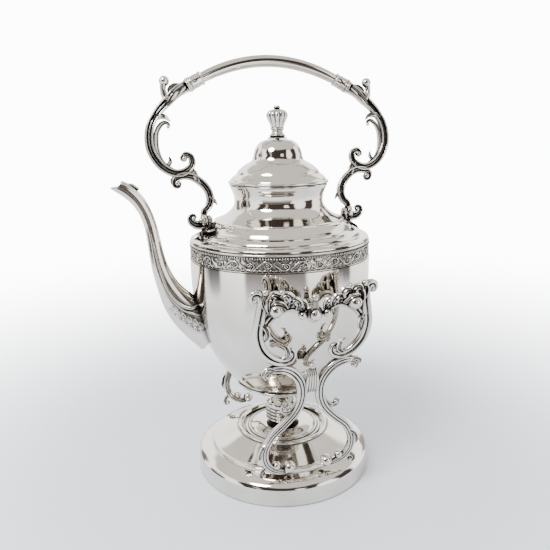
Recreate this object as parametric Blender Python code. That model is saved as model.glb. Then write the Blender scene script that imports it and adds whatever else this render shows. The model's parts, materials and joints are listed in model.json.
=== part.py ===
"""Silver-plated spirit kettle: a pear-bodied kettle with a swing handle, hung in a cast scroll
stand over a spirit lamp. Metres, +Z up. The spout points along -X, the two cast frames stand at
-Y and +Y, and the origin is the centre of the base's underside."""

import math

import bmesh
import bpy
from mathutils import Vector

# ---- fits and resolution
GAP = 0.0003            # clearance left between pieces that touch
PIN_CLEARANCE = 0.0003  # radial clearance of a pin in its eye
ROUND = 32              # sides of the large spun pieces
SMALL_ROUND = 16        # sides of the small spun pieces
COLLAR_ROUND = 20       # sides of the lamp's collar and cap
STRAND_SIDES = 6        # sides of a cast strand
WELD_DISTANCE = 0.00004 # corners closer than this after a join become one
SPAN_STEPS = 2          # rings between two points of a strand

# ---- base
BASE_RADIUS = 0.0800
BASE_WALL_TOP = 0.0150
BASE_SHEET = 0.0015
BASE_PLATE_THICK = 0.0012
RIM_LIP = 0.0040        # width of the flat the base stands on
STEP_RADIUS = 0.0655
STEP_Z = 0.0262
HOLLOW_RADIUS = 0.0460
HOLLOW_Z = 0.0340
WELL_LIP_Z = 0.0382
WELL_RADIUS = 0.0380
WELL_FLOOR_Z = 0.0325

# ---- lamp
LAMP_FLANGE_RADIUS = 0.0355
LAMP_DOME_RADIUS = 0.0305
LAMP_DOME_Z = 0.0390
LAMP_SHEET = 0.0009
LAMP_MOUTH = 0.0100
COLLAR_RADIUS = 0.0151
COLLAR_TOP_Z = 0.0589
COLLAR_BORE = 0.0125
COLLAR_PLATE = 0.0015
COLLAR_RING = 0.0007
COLLAR_RINGS = 3
COLLAR_RING_PITCH = 0.0040
WICK_TUBE_RADIUS = 0.0058
WICK_TUBE_WALL = 0.0008
WICK_TUBE_TOP_Z = 0.0620
WICK_TOP_Z = 0.0636
CAP_TOP_Z = 0.0672
CAP_TOP_RADIUS = 0.0080
CAP_SHEET = 0.0010

# ---- kettle body
BOWL_BOTTOM_Z = 0.0845
BOWL_BOTTOM_RADIUS = 0.0410
BOWL_RADIUS = 0.0787
BOWL_FULLNESS = 2.9
BOWL_SHEET = 0.0014
BOWL_SEAM_Z = 0.1120        # the bowl is drawn as an upper wall, a lower wall and a flat bottom
BAND_BOTTOM_Z = 0.1998
BAND_TOP_Z = 0.2126
BAND_DEPTH = 0.0014
FOOT_RING_RADIUS = 0.0412
FOOT_RING_HEIGHT = 0.0026
SHOULDER_SHEET = 0.0012
NECK_RADIUS = 0.0383
NECK_Z = 0.2480
NECK_LIP_RADIUS = 0.0423
NECK_TOP_Z = 0.2622

# ---- lid
LID_RADIUS = 0.0434
LID_RIM_THICK = 0.0024
LID_SHEET = 0.0012
LID_TOP_Z = 0.2988
LID_TOP_RADIUS = 0.0120
BEZEL_DEPTH = 0.0085
BEZEL_SHEET = 0.0011
BEZEL_FIT = 0.0006      # radial clearance of the bezel in the neck
STUD_RADIUS = 0.0018
STUD_HEAD_RADIUS = 0.0050
STUD_HEAD_THICK = 0.0025
FINIAL_HEIGHT = 0.0275

# ---- tilting pivot and frames
PIVOT_Z = 0.1700
FRAME_FOOT_Y = 0.0660   # distance of a frame's plane from the axis at z = 0
FRAME_LEAN = 0.125      # outward lean of a frame's plane, metres per metre
PIVOT_RADIUS = 0.0027
PIVOT_BOSS_RADIUS = 0.0060
PIVOT_HEAD_RADIUS = 0.0042
EYE_RADIUS = 0.0072
EYE_HALF = 0.0034
ARM_HALF = 0.0026
LEG_HALF = 0.0034
STRAND_DEPTH = 0.0026
FOOT_PAD_RADIUS = 0.0042

# ---- swing handle
HINGE_Z = 0.2335
HINGE_LUG_X = 0.0600
HINGE_LUG_THICK = 0.0036
HINGE_EYE_THICK = 0.0042
HINGE_EYE_RADIUS = 0.0058
HINGE_LUG_RADIUS = 0.0044
HINGE_PIN_RADIUS = 0.0016
GRIP_HALF = 0.0635
HANDLE_LEAN = 0.157      # the handle rests this far back from upright, radians (9 degrees)
GRIP_TOP_Z = 0.3655       # measured along the handle's own plane
GRIP_SAG = 0.0170         # drop of the grip's ends below its middle
GRIP_RADIUS = 0.0050
GRIP_END_RADIUS = 0.0042
FERRULE_LENGTH = 0.0150
FERRULE_WALL = 0.0010
FERRULE_RING = 0.0008
BRACKET_HALF = 0.0034
BRACKET_DEPTH = 0.0036

# ---- spout
SPOUT_SHEET = 0.0013
SPOUT_HOLE_RADIUS = 0.0085
SPOUT_HOLE_Z = 0.1470

SILVER = (0.86, 0.85, 0.82, 1.0)
COTTON = (0.80, 0.77, 0.70, 1.0)


def clear_scene():
    for obj in list(bpy.data.objects):
        bpy.data.objects.remove(obj, do_unlink=True)


def material(name, colour, metallic, roughness):
    mat = bpy.data.materials.new(name)
    mat.use_nodes = True
    shader = mat.node_tree.nodes["Principled BSDF"]
    shader.inputs["Base Color"].default_value = colour
    shader.inputs["Metallic"].default_value = metallic
    shader.inputs["Roughness"].default_value = roughness
    return mat


def silver(name):
    return material(name + "_silver", SILVER, 1.0, 0.12)


def make_object(name, bm, mat=None):
    """Turn a bmesh into a smooth-shaded object with its faces facing out."""
    bmesh.ops.recalc_face_normals(bm, faces=bm.faces)
    mesh = bpy.data.meshes.new(name)
    bm.to_mesh(mesh)
    bm.free()
    for face in mesh.polygons:
        face.use_smooth = True
    mesh.materials.append(mat or silver(name))
    obj = bpy.data.objects.new(name, mesh)
    bpy.context.scene.collection.objects.link(obj)
    return obj


def join_rings(bm, rings, closed_loop):
    """Skin a list of vertex rings; a ring of one vertex is a pole."""
    count = len(rings)
    for index in range(count if closed_loop else count - 1):
        low = rings[index]
        high = rings[(index + 1) % count]
        sides = max(len(low), len(high))
        if sides == 1:
            continue
        for k in range(sides):
            corners = [low[k % len(low)], low[(k + 1) % len(low)]]
            corners += [high[(k + 1) % len(high)], high[k % len(high)]]
            unique = []
            for vert in corners:
                if vert not in unique:
                    unique.append(vert)
            bm.faces.new(unique)


def spun(name, outline, sides=ROUND, mat=None):
    """Spin a closed outline of (radius, height) about Z. Points on the axis become poles."""
    bm = bmesh.new()
    rings = []
    for radius, height in outline:
        if radius == 0.0:
            rings.append([bm.verts.new((0.0, 0.0, height))])
            continue
        ring = []
        for k in range(sides):
            angle = 2.0 * math.pi * k / sides
            ring.append(bm.verts.new((radius * math.cos(angle), radius * math.sin(angle), height)))
        rings.append(ring)
    join_rings(bm, rings, closed_loop=True)
    return make_object(name, bm, mat)


def offset(outline, distance):
    """Move an outline to its right-hand side by a distance, mitred at each corner."""
    moved = []
    for i, (radius, height) in enumerate(outline):
        here = Vector((radius, height))
        normals = []
        for j in (i - 1, i):
            if 0 <= j < len(outline) - 1:
                along = Vector(outline[j + 1]) - Vector(outline[j])
                normals.append(Vector((along.y, -along.x)).normalized())
        mean = sum(normals, Vector((0.0, 0.0))).normalized()
        stretch = min(1.0 / max(mean.dot(normals[0]), 0.5), 1.6)
        spot = here + mean * distance * stretch
        moved.append((max(spot.x, 0.0), spot.y))
    return moved


def bead(radius, height, size, count=3):
    """Points of a half-round bead standing out from a wall, bottom to top."""
    points = []
    for k in range(count):
        angle = math.pi * (k / (count - 1) - 0.5)
        points.append((radius + size * math.cos(angle), height + size * math.sin(angle)))
    return points


def smooth_path(points, steps=SPAN_STEPS):
    """Catmull-Rom curve through points, as a list of vectors."""
    ends = [Vector(p) for p in points]
    padded = [2 * ends[0] - ends[1]] + ends + [2 * ends[-1] - ends[-2]]
    curve = []
    for i in range(1, len(padded) - 2):
        p0, p1, p2, p3 = padded[i - 1: i + 3]
        for k in range(steps):
            t = k / steps
            curve.append(0.5 * ((2 * p1) + (p2 - p0) * t + (2 * p0 - 5 * p1 + 4 * p2 - p3) * t ** 2
                                + (3 * p1 - p0 - 3 * p2 + p3) * t ** 3))
    curve.append(ends[-1])
    return curve


def ring_at(bm, centre, side, depth, half_side, half_depth, sides):
    ring = []
    for k in range(sides):
        angle = 2.0 * math.pi * k / sides
        spot = centre + side * (half_side * math.cos(angle)) + depth * (half_depth * math.sin(angle))
        ring.append(bm.verts.new(spot))
    return ring


def strand_mesh(bm, path, half_sides, half_depths, depth, sides=STRAND_SIDES):
    """Sweep an oval section along a path that stays in the plane whose normal is depth."""
    rings = []
    last = len(path) - 1
    for i, centre in enumerate(path):
        along = (path[min(i + 1, last)] - path[max(i - 1, 0)]).normalized()
        side = along.cross(depth).normalized()
        rings.append(ring_at(bm, centre, side, depth, half_sides[i], half_depths[i], sides))
    join_rings(bm, rings, closed_loop=False)
    bm.faces.new(rings[0])
    bm.faces.new(rings[-1][::-1])
    return rings


def tapered(count, middle, start=0.55, end=0.55):
    """Half-widths that swell from start to full and back to end, as shares of middle."""
    widths = []
    for i in range(count):
        t = i / (count - 1)
        share = min(1.0, start + (1.0 - start) * t * 4.0, end + (1.0 - end) * (1.0 - t) * 4.0)
        widths.append(middle * share)
    return widths


def strand(name, points, place, half, depth_half, depth, start=0.55, end=0.55):
    """A cast strand through flat points, placed by a function and swept with an oval section."""
    path = [place(p.x, p.y) for p in smooth_path(points)]
    bm = bmesh.new()
    sizes = tapered(len(path), half, start, end)
    depths = tapered(len(path), depth_half, start, end)
    strand_mesh(bm, path, sizes, depths, depth)
    return make_object(name, bm)


def ball(name, centre, radius, squash=1.0):
    bm = bmesh.new()
    bmesh.ops.create_uvsphere(bm, u_segments=8, v_segments=5, radius=radius)
    for vert in bm.verts:
        vert.co.z *= squash
        vert.co += centre
    return make_object(name, bm)


def rod(name, start, end, radius, sides=SMALL_ROUND, end_radius=None):
    """A straight round bar from start to end."""
    along = (end - start).normalized()
    side = along.orthogonal().normalized()
    depth = along.cross(side)
    bm = bmesh.new()
    far = radius if end_radius is None else end_radius
    rings = [ring_at(bm, start, side, depth, radius, radius, sides)]
    rings.append(ring_at(bm, end, side, depth, far, far, sides))
    join_rings(bm, rings, closed_loop=False)
    bm.faces.new(rings[0])
    bm.faces.new(rings[1][::-1])
    return make_object(name, bm)


def turned(name, start, along, outline, sides=SMALL_ROUND, mat=None):
    """Spin an outline of (radius, distance) about a line through start."""
    obj = spun(name, outline, sides, mat)
    turn = along.to_track_quat("Z", "Y").to_matrix().to_4x4()
    turn.translation = start
    obj.data.transform(turn)
    return obj


def group_of(name, objects):
    """Put helper solids in a collection of their own, hidden from the render."""
    group = bpy.data.collections.new(name)
    for obj in objects:
        bpy.context.scene.collection.objects.unlink(obj)
        group.objects.link(obj)
        obj.hide_render = True
        obj.display_type = "WIRE"
    bpy.context.scene.collection.children.link(group)
    return group


def boolean(obj, operation, helpers):
    """Join or cut an object with helper solids."""
    mod = obj.modifiers.new(operation.lower(), "BOOLEAN")
    mod.operation = operation
    mod.solver = "EXACT"
    mod.operand_type = "COLLECTION"
    mod.collection = group_of(obj.name + "_" + operation.lower(), helpers)


def weld(obj):
    """Merge the near-coincident corners that joining many solids leaves."""
    mod = obj.modifiers.new("weld", "WELD")
    mod.merge_threshold = WELD_DISTANCE


# ---------------------------------------------------------------- base
def base_outline():
    """The base's upper surface from the floor up and in to the edge of the lamp's well."""
    return [
        (BASE_RADIUS, 0.0),
        (BASE_RADIUS, BASE_WALL_TOP - 0.001),
        (BASE_RADIUS - 0.0012, BASE_WALL_TOP + 0.0022),
        (BASE_RADIUS - 0.0040, BASE_WALL_TOP + 0.0043),
        (STEP_RADIUS + 0.0022, STEP_Z - 0.0026),
        (STEP_RADIUS + 0.0008, STEP_Z - 0.0004),
        (STEP_RADIUS - 0.0020, STEP_Z + 0.0008),
        (HOLLOW_RADIUS + 0.0080, HOLLOW_Z - 0.0030),
        (HOLLOW_RADIUS, HOLLOW_Z),
        (WELL_RADIUS + 0.0040, WELL_LIP_Z - 0.0010),
        (WELL_RADIUS + 0.0020, WELL_LIP_Z),
    ]


def build_base():
    top = base_outline()
    well = [(WELL_RADIUS, WELL_LIP_Z - 0.0006), (WELL_RADIUS, WELL_FLOOR_Z), (0.0, WELL_FLOOR_Z)]
    under = [(0.0, WELL_FLOOR_Z - BASE_SHEET), (WELL_RADIUS + BASE_SHEET, WELL_FLOOR_Z - BASE_SHEET)]
    inside = offset(top[2:9], -BASE_SHEET)[::-1]
    foot = [(BASE_RADIUS - BASE_SHEET, BASE_WALL_TOP), (BASE_RADIUS - BASE_SHEET, BASE_SHEET)]
    foot += [(BASE_RADIUS - RIM_LIP, BASE_SHEET), (BASE_RADIUS - RIM_LIP, 0.0)]
    outline = top + well + under + inside[:-1] + foot
    spun("base_shell", outline)
    plate_radius = BASE_RADIUS - RIM_LIP - GAP
    spun("base_plate", [(0.0, 0.0), (plate_radius, 0.0), (plate_radius, BASE_PLATE_THICK),
                        (0.0, BASE_PLATE_THICK)])


def base_cutter(name):
    """The base's upper surface raised by the gap, as a solid to cut the feet with."""
    top = offset(base_outline(), GAP)
    return spun(name, [(0.0, 0.0)] + [top[0]] + top[1:] + [(0.0, WELL_LIP_Z)])


# ---------------------------------------------------------------- lamp
def build_lamp():
    floor = WELL_FLOOR_Z + GAP
    tray = [
        (LAMP_FLANGE_RADIUS - 0.001, floor),
        (LAMP_FLANGE_RADIUS, floor + 0.0010),
        (LAMP_FLANGE_RADIUS, floor + 0.0022),
        (LAMP_DOME_RADIUS + 0.0012, floor + 0.0026),
        (LAMP_DOME_RADIUS, floor + 0.0036),
        (LAMP_DOME_RADIUS - 0.0060, LAMP_DOME_Z - 0.0012),
        (COLLAR_RADIUS - 0.0015, LAMP_DOME_Z),
        (LAMP_MOUTH, LAMP_DOME_Z),
    ]
    lid_inner = [(LAMP_MOUTH, LAMP_DOME_Z - LAMP_SHEET),
                 (LAMP_DOME_RADIUS - 0.0070, LAMP_DOME_Z - 0.0012 - LAMP_SHEET),
                 (LAMP_DOME_RADIUS - 0.0010, floor + 0.0018)]
    bottom = [(LAMP_DOME_RADIUS - 0.0010, floor + LAMP_SHEET), (0.0, floor + LAMP_SHEET)]
    spun("lamp_reservoir", tray + lid_inner + bottom + [(0.0, floor)])
    foot = LAMP_DOME_Z + GAP
    wall = [(COLLAR_RADIUS - 0.0014, foot), (COLLAR_RADIUS, foot + 0.0035)]
    for k in range(COLLAR_RINGS):
        wall += bead(COLLAR_RADIUS, foot + 0.0060 + k * COLLAR_RING_PITCH, COLLAR_RING)
    wall += [(COLLAR_RADIUS, COLLAR_TOP_Z)]
    tube_hole = WICK_TUBE_RADIUS + GAP
    inside = [(tube_hole, COLLAR_TOP_Z), (tube_hole, COLLAR_TOP_Z - COLLAR_PLATE),
              (COLLAR_BORE, COLLAR_TOP_Z - COLLAR_PLATE), (COLLAR_BORE, foot)]
    spun("lamp_collar", wall + inside, COLLAR_ROUND)
    bore = WICK_TUBE_RADIUS - WICK_TUBE_WALL
    low = foot + 0.002
    spun("wick_tube", [(WICK_TUBE_RADIUS, low), (WICK_TUBE_RADIUS, WICK_TUBE_TOP_Z),
                       (bore, WICK_TUBE_TOP_Z), (bore, low)], SMALL_ROUND)
    wick = bore - GAP
    cotton = material("wick_cotton", COTTON, 0.0, 0.9)
    spun("wick", [(0.0, floor + 0.0020), (wick, floor + 0.0020), (wick, WICK_TOP_Z - 0.0006),
                  (wick - 0.0008, WICK_TOP_Z), (0.0, WICK_TOP_Z)], SMALL_ROUND, cotton)
    rim = COLLAR_TOP_Z + GAP
    outer = [(COLLAR_RADIUS - 0.0002, rim), (COLLAR_RADIUS - 0.0004, rim + 0.0008),
             (CAP_TOP_RADIUS + 0.0028, CAP_TOP_Z - 0.0032), (CAP_TOP_RADIUS, CAP_TOP_Z - 0.0006)]
    cone = [(CAP_TOP_RADIUS - 0.0010, CAP_TOP_Z - 0.0006 - CAP_SHEET),
            (COLLAR_RADIUS - 0.0016, rim + 0.0008), (COLLAR_RADIUS - 0.0014, rim)]
    spun("snuffer_cap", outer + [(0.0, CAP_TOP_Z), (0.0, CAP_TOP_Z - CAP_SHEET - 0.0003)]
              + cone, COLLAR_ROUND)


# ---------------------------------------------------------------- kettle
def bowl_radius(height):
    """The bowl's outer radius: full at the band, drawn in to the flat bottom."""
    share = (BAND_BOTTOM_Z - height) / (BAND_BOTTOM_Z - BOWL_BOTTOM_Z)
    return BOWL_BOTTOM_RADIUS + (BOWL_RADIUS - BOWL_BOTTOM_RADIUS) * (1.0 - share ** BOWL_FULLNESS)


def bowl_side():
    """The bowl's outer surface from the edge of the flat bottom up to the band."""
    span = BAND_BOTTOM_Z - BOWL_BOTTOM_Z
    shares = (0.018, 0.05, 0.10, 0.17, 0.26, 0.38, 0.54, 0.75, 1.0)
    side = [(BOWL_BOTTOM_RADIUS + 0.0010, BOWL_BOTTOM_Z)]
    side += [(bowl_radius(BOWL_BOTTOM_Z + span * s), BOWL_BOTTOM_Z + span * s) for s in shares]
    return side


def shoulder_side():
    """The shoulder and neck's outer surface from the band up to the rolled lip."""
    edge = BOWL_RADIUS - 0.0003
    return [
        (edge, BAND_TOP_Z + GAP),
        (edge, BAND_TOP_Z + 0.0022),
        (edge - 0.0020, BAND_TOP_Z + 0.0038),
        (edge - 0.0060, BAND_TOP_Z + 0.0048),
        (edge - 0.0100, BAND_TOP_Z + 0.0080),
        (edge - 0.0150, BAND_TOP_Z + 0.0118),
        (edge - 0.0202, BAND_TOP_Z + 0.0168),
        (edge - 0.0272, BAND_TOP_Z + 0.0211),
        (NECK_RADIUS + 0.0060, NECK_Z - 0.0100),
        (NECK_RADIUS + 0.0016, NECK_Z - 0.0055),
        (NECK_RADIUS, NECK_Z),
        (NECK_RADIUS + 0.0010, NECK_Z + 0.0055),
        (NECK_LIP_RADIUS - 0.0008, NECK_TOP_Z - 0.0030),
        (NECK_LIP_RADIUS, NECK_TOP_Z - 0.0012),
        (NECK_LIP_RADIUS - 0.0006, NECK_TOP_Z),
    ]


def radius_on(line, height):
    """The radius, at a height, of an outline drawn bottom to top."""
    for (low_r, low_z), (high_r, high_z) in zip(line, line[1:]):
        if low_z <= height <= high_z:
            return low_r + (high_r - low_r) * (height - low_z) / (high_z - low_z)
    raise ValueError("no such height on the outline")


def above(line, height):
    """The part of an outline, drawn bottom to top, above a height."""
    return [(radius_on(line, height), height)] + [spot for spot in line if spot[1] > height]


def below(line, height):
    """The part of an outline, drawn bottom to top, below a height."""
    return [spot for spot in line if spot[1] < height] + [(radius_on(line, height), height)]


def build_kettle_body():
    side = bowl_side()
    seat = BOWL_RADIUS - BAND_DEPTH
    step = [(seat, BAND_BOTTOM_Z), (seat, BAND_TOP_Z)]
    inner_top = seat - BOWL_SHEET
    inside = [(BOWL_BOTTOM_RADIUS, BOWL_BOTTOM_Z + BOWL_SHEET)] + offset(side[1:-1], -BOWL_SHEET)
    inside += [(inner_top, BAND_BOTTOM_Z - 0.003), (inner_top, BAND_TOP_Z)]
    bowl = spun("bowl", above(side, BOWL_SEAM_Z) + step + above(inside, BOWL_SEAM_Z)[::-1])
    lower_top = BOWL_SEAM_Z - GAP
    spun("bowl_lower", [(BOWL_BOTTOM_RADIUS, BOWL_BOTTOM_Z)] + below(side, lower_top)
         + below(inside, lower_top)[::-1])
    disc_edge = BOWL_BOTTOM_RADIUS - GAP
    disc_top = BOWL_BOTTOM_Z + BOWL_SHEET
    spun("bowl_bottom", [(0.0, BOWL_BOTTOM_Z), (disc_edge, BOWL_BOTTOM_Z), (disc_edge, disc_top),
                         (0.0, disc_top)])
    hole_start = Vector((-(bowl_radius(SPOUT_HOLE_Z) - 0.02), 0.0, SPOUT_HOLE_Z))
    hole_end = Vector((-(BOWL_RADIUS + 0.01), 0.0, SPOUT_HOLE_Z))
    boolean(bowl, "DIFFERENCE", [rod("spout_hole_cutter", hole_start, hole_end, SPOUT_HOLE_RADIUS)])

    ring_in = seat + GAP
    low = BAND_BOTTOM_Z + GAP
    high = BAND_TOP_Z - GAP
    spun("ornament_band", [(ring_in, low), (BOWL_RADIUS - 0.0004, low), (BOWL_RADIUS, low + 0.0012),
                           (BOWL_RADIUS, high - 0.0012), (BOWL_RADIUS - 0.0004, high),
                           (ring_in, high)])
    shoulder = shoulder_side()
    bottom_in = seat - BOWL_SHEET
    inner = offset(shoulder[2:], -SHOULDER_SHEET)[::-1]
    inner[0] = (NECK_LIP_RADIUS - 0.0006 - SHOULDER_SHEET - 0.0010, NECK_TOP_Z)
    floor = [(bottom_in, BAND_TOP_Z + 0.0020), (bottom_in, BAND_TOP_Z + GAP)]
    spun("shoulder_neck", shoulder + inner[:-1] + floor)
    foot_top = BOWL_BOTTOM_Z - GAP
    half = 0.0014
    spun("kettle_foot_ring", [(FOOT_RING_RADIUS - half, foot_top - FOOT_RING_HEIGHT),
                              (FOOT_RING_RADIUS + half * 0.4, foot_top - FOOT_RING_HEIGHT),
                              (FOOT_RING_RADIUS + half, foot_top - FOOT_RING_HEIGHT * 0.5),
                              (FOOT_RING_RADIUS + half * 0.6, foot_top),
                              (FOOT_RING_RADIUS - half, foot_top)])


def body_cutter(name):
    """The kettle's outer surface, grown by the gap, as a solid for cutting what sits on it."""
    outline = bowl_side() + [(BOWL_RADIUS, BAND_TOP_Z)] + shoulder_side()[1:9]
    grown = offset(outline, GAP)
    bottom = grown[0][1]
    top = grown[-1][1]
    return spun(name, [(0.0, bottom)] + grown + [(0.0, top)])


def build_spout():
    """Hollow tapered spout, rising from a deep root low on the bowl to a small turned-out lip."""
    stations = [  # distance from axis, height, half-height in its plane, half-width
        (0.0620, 0.1400, 0.0250, 0.0150), (0.0740, 0.1475, 0.0205, 0.0140),
        (0.0850, 0.1565, 0.0160, 0.0120), (0.0940, 0.1685, 0.0118, 0.0100),
        (0.1005, 0.1820, 0.0084, 0.0080), (0.1050, 0.1960, 0.0064, 0.0066),
        (0.1072, 0.2080, 0.0055, 0.0058), (0.1086, 0.2200, 0.0050, 0.0052),
        (0.1105, 0.2320, 0.0047, 0.0048), (0.1138, 0.2430, 0.0047, 0.0047),
        (0.1192, 0.2530, 0.0050, 0.0050), (0.1262, 0.2605, 0.0054, 0.0054),
        (0.1330, 0.2650, 0.0048, 0.0056),
    ]
    depth = Vector((0.0, 1.0, 0.0))
    centres = smooth_path([(-s, 0.0, z) for s, z, a, b in stations], 2)
    sizes = smooth_path([(a, b, 0.0) for s, z, a, b in stations], 2)
    bm = bmesh.new()
    skins = []
    last = len(centres) - 1
    for wall in (0.0, SPOUT_SHEET):
        rings = []
        for i, centre in enumerate(centres):
            along = (centres[min(i + 1, last)] - centres[max(i - 1, 0)]).normalized()
            side = along.cross(depth).normalized()
            rings.append(ring_at(bm, centre, side, depth, sizes[i].x - wall, sizes[i].y - wall, 12))
        skins.append(rings)
    join_rings(bm, skins[0] + skins[1][::-1], closed_loop=True)
    spout = make_object("spout", bm)
    boolean(spout, "DIFFERENCE", [body_cutter("spout_root_cutter")])


def frame_plane_y(height):
    return FRAME_FOOT_Y + FRAME_LEAN * height


def build_trunnion(name, side):
    """A stepped pin on the bowl that turns in the frame's eye, with a button head outside."""
    inside = bowl_radius(PIVOT_Z) - 0.004
    eye_in = frame_plane_y(PIVOT_Z) - EYE_HALF
    eye_out = frame_plane_y(PIVOT_Z) + EYE_HALF
    boss_end = eye_in - GAP - inside
    head = eye_out + GAP - inside
    outline = [(0.0, 0.0), (PIVOT_BOSS_RADIUS, 0.0), (PIVOT_BOSS_RADIUS, boss_end - 0.0012),
               (PIVOT_BOSS_RADIUS - 0.0012, boss_end), (PIVOT_RADIUS, boss_end), (PIVOT_RADIUS, head),
               (PIVOT_HEAD_RADIUS, head), (PIVOT_HEAD_RADIUS, head + 0.0010),
               (PIVOT_HEAD_RADIUS - 0.0014, head + 0.0022), (0.0, head + 0.0026)]
    start = Vector((0.0, side * inside, PIVOT_Z))
    pin = turned(name, start, Vector((0.0, side, 0.0)), outline)
    boolean(pin, "DIFFERENCE", [body_cutter(name + "_cutter")])


# ---------------------------------------------------------------- stand frames
ARM = [(0.0485, 0.1850), (0.0470, 0.1895), (0.0430, 0.1880), (0.0415, 0.1810), (0.0435, 0.1690),
       (0.0445, 0.1570), (0.0415, 0.1460), (0.0350, 0.1375), (0.0270, 0.1335), (0.0200, 0.1335),
       (0.0165, 0.1375), (0.0190, 0.1410)]
ARCH = [(0.0040, 0.1700), (0.0080, 0.1745), (0.0180, 0.1780), (0.0280, 0.1755), (0.0365, 0.1680),
        (0.0420, 0.1570)]
LEG = [(0.0340, 0.1240), (0.0250, 0.1265), (0.0150, 0.1215), (0.0085, 0.1110), (0.0075, 0.0985),
       (0.0115, 0.0870), (0.0210, 0.0755), (0.0320, 0.0655), (0.0385, 0.0520), (0.0370, 0.0400),
       (0.0290, 0.0310), (0.0210, 0.0282), (0.0160, 0.0310)]
SPUR = [(0.0085, 0.1060), (0.0120, 0.0940), (0.0185, 0.0865), (0.0235, 0.0885), (0.0215, 0.0915)]
LEAF = [(0.0200, 0.1765), (0.0260, 0.1850), (0.0350, 0.1880), (0.0420, 0.1850)]
LINK = [(0.0290, 0.1345), (0.0240, 0.1270)]
FOOT_S = 0.0245
FRUIT = (0.0300, 0.1800, 0.0050)
FOOT_BALL = (0.0165, 0.0320, 0.0052)


def build_frame(name, side):
    """One cast frame: a heart of scrolls above two reversed legs, held by a centre tie."""
    def place(across, height):
        return Vector((across, side * frame_plane_y(height), height))

    depth = Vector((0.0, side, -FRAME_LEAN)).normalized()
    pivot = place(0.0, PIVOT_Z)
    straight = Vector((0.0, side, 0.0))
    helpers = []
    eye = rod(name, pivot - straight * EYE_HALF, pivot + straight * EYE_HALF, EYE_RADIUS, 16)
    for mirror in (-1.0, 1.0):
        def put(across, height, mirror=mirror):
            return place(mirror * across, height)
        label = name + ("_left_" if mirror < 0 else "_right_")
        helpers.append(strand(label + "arm", ARM, put, ARM_HALF, STRAND_DEPTH, depth))
        helpers.append(strand(label + "arch", ARCH, put, ARM_HALF, STRAND_DEPTH * 0.93, depth, 1.0))
        helpers.append(strand(label + "leg", LEG, put, LEG_HALF, STRAND_DEPTH * 1.15, depth, 0.4, 0.8))
        helpers.append(strand(label + "spur", SPUR, put, ARM_HALF * 0.8, STRAND_DEPTH * 0.8, depth))
        helpers.append(strand(label + "leaf", LEAF, put, ARM_HALF * 1.3, STRAND_DEPTH * 0.9, depth, 0.8))
        helpers.append(strand(label + "link", LINK, put, ARM_HALF, STRAND_DEPTH * 0.84, depth, 1.0, 1.0))
        helpers.append(ball(label + "fruit", put(FRUIT[0], FRUIT[1]), FRUIT[2]))
        helpers.append(ball(label + "foot_ball", put(FOOT_BALL[0], FOOT_BALL[1]), FOOT_BALL[2]))
        low = put(FOOT_S, HOLLOW_Z - 0.0060)
        helpers.append(rod(label + "pad", Vector((low.x, low.y, STEP_Z - 0.010)), low,
                           FOOT_PAD_RADIUS, 12))
    tie = [(0.0, 0.1225), (0.0, 0.1150), (0.0, 0.1030)]
    helpers.append(strand(name + "_palmette", tie, place, LEG_HALF * 1.9, STRAND_DEPTH * 1.2, depth,
                          0.9, 0.5))
    bud = [(0.0, 0.1750), (0.0, 0.1800), (0.0, 0.1840)]
    helpers.append(strand(name + "_bud", bud, place, ARM_HALF * 1.1, STRAND_DEPTH, depth, 1.0, 0.6))
    boolean(eye, "UNION", helpers)
    reach = straight * (EYE_HALF * 3.0)
    bore = rod(name + "_bore", pivot - reach, pivot + reach, PIVOT_RADIUS + PIN_CLEARANCE, 16)
    boolean(eye, "DIFFERENCE", [bore, base_cutter(name + "_foot_cutter")])
    weld(eye)


# ---------------------------------------------------------------- lid
def lid_side():
    rim = NECK_TOP_Z + GAP
    return [
        (LID_RADIUS - 0.0004, rim),
        (LID_RADIUS, rim + 0.0010),
        (LID_RADIUS - 0.0004, rim + LID_RIM_THICK),
        (LID_RADIUS - 0.0030, rim + 0.0048),
        (LID_RADIUS - 0.0085, rim + 0.0088),
        (LID_RADIUS - 0.0140, rim + 0.0130),
        (LID_RADIUS - 0.0185, rim + 0.0172),
        (LID_TOP_RADIUS + 0.0090, LID_TOP_Z - 0.0148),
        (LID_TOP_RADIUS + 0.0078, LID_TOP_Z - 0.0108),
        (LID_TOP_RADIUS + 0.0064, LID_TOP_Z - 0.0062),
        (LID_TOP_RADIUS + 0.0036, LID_TOP_Z - 0.0024),
        (LID_TOP_RADIUS, LID_TOP_Z),
    ]


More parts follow.
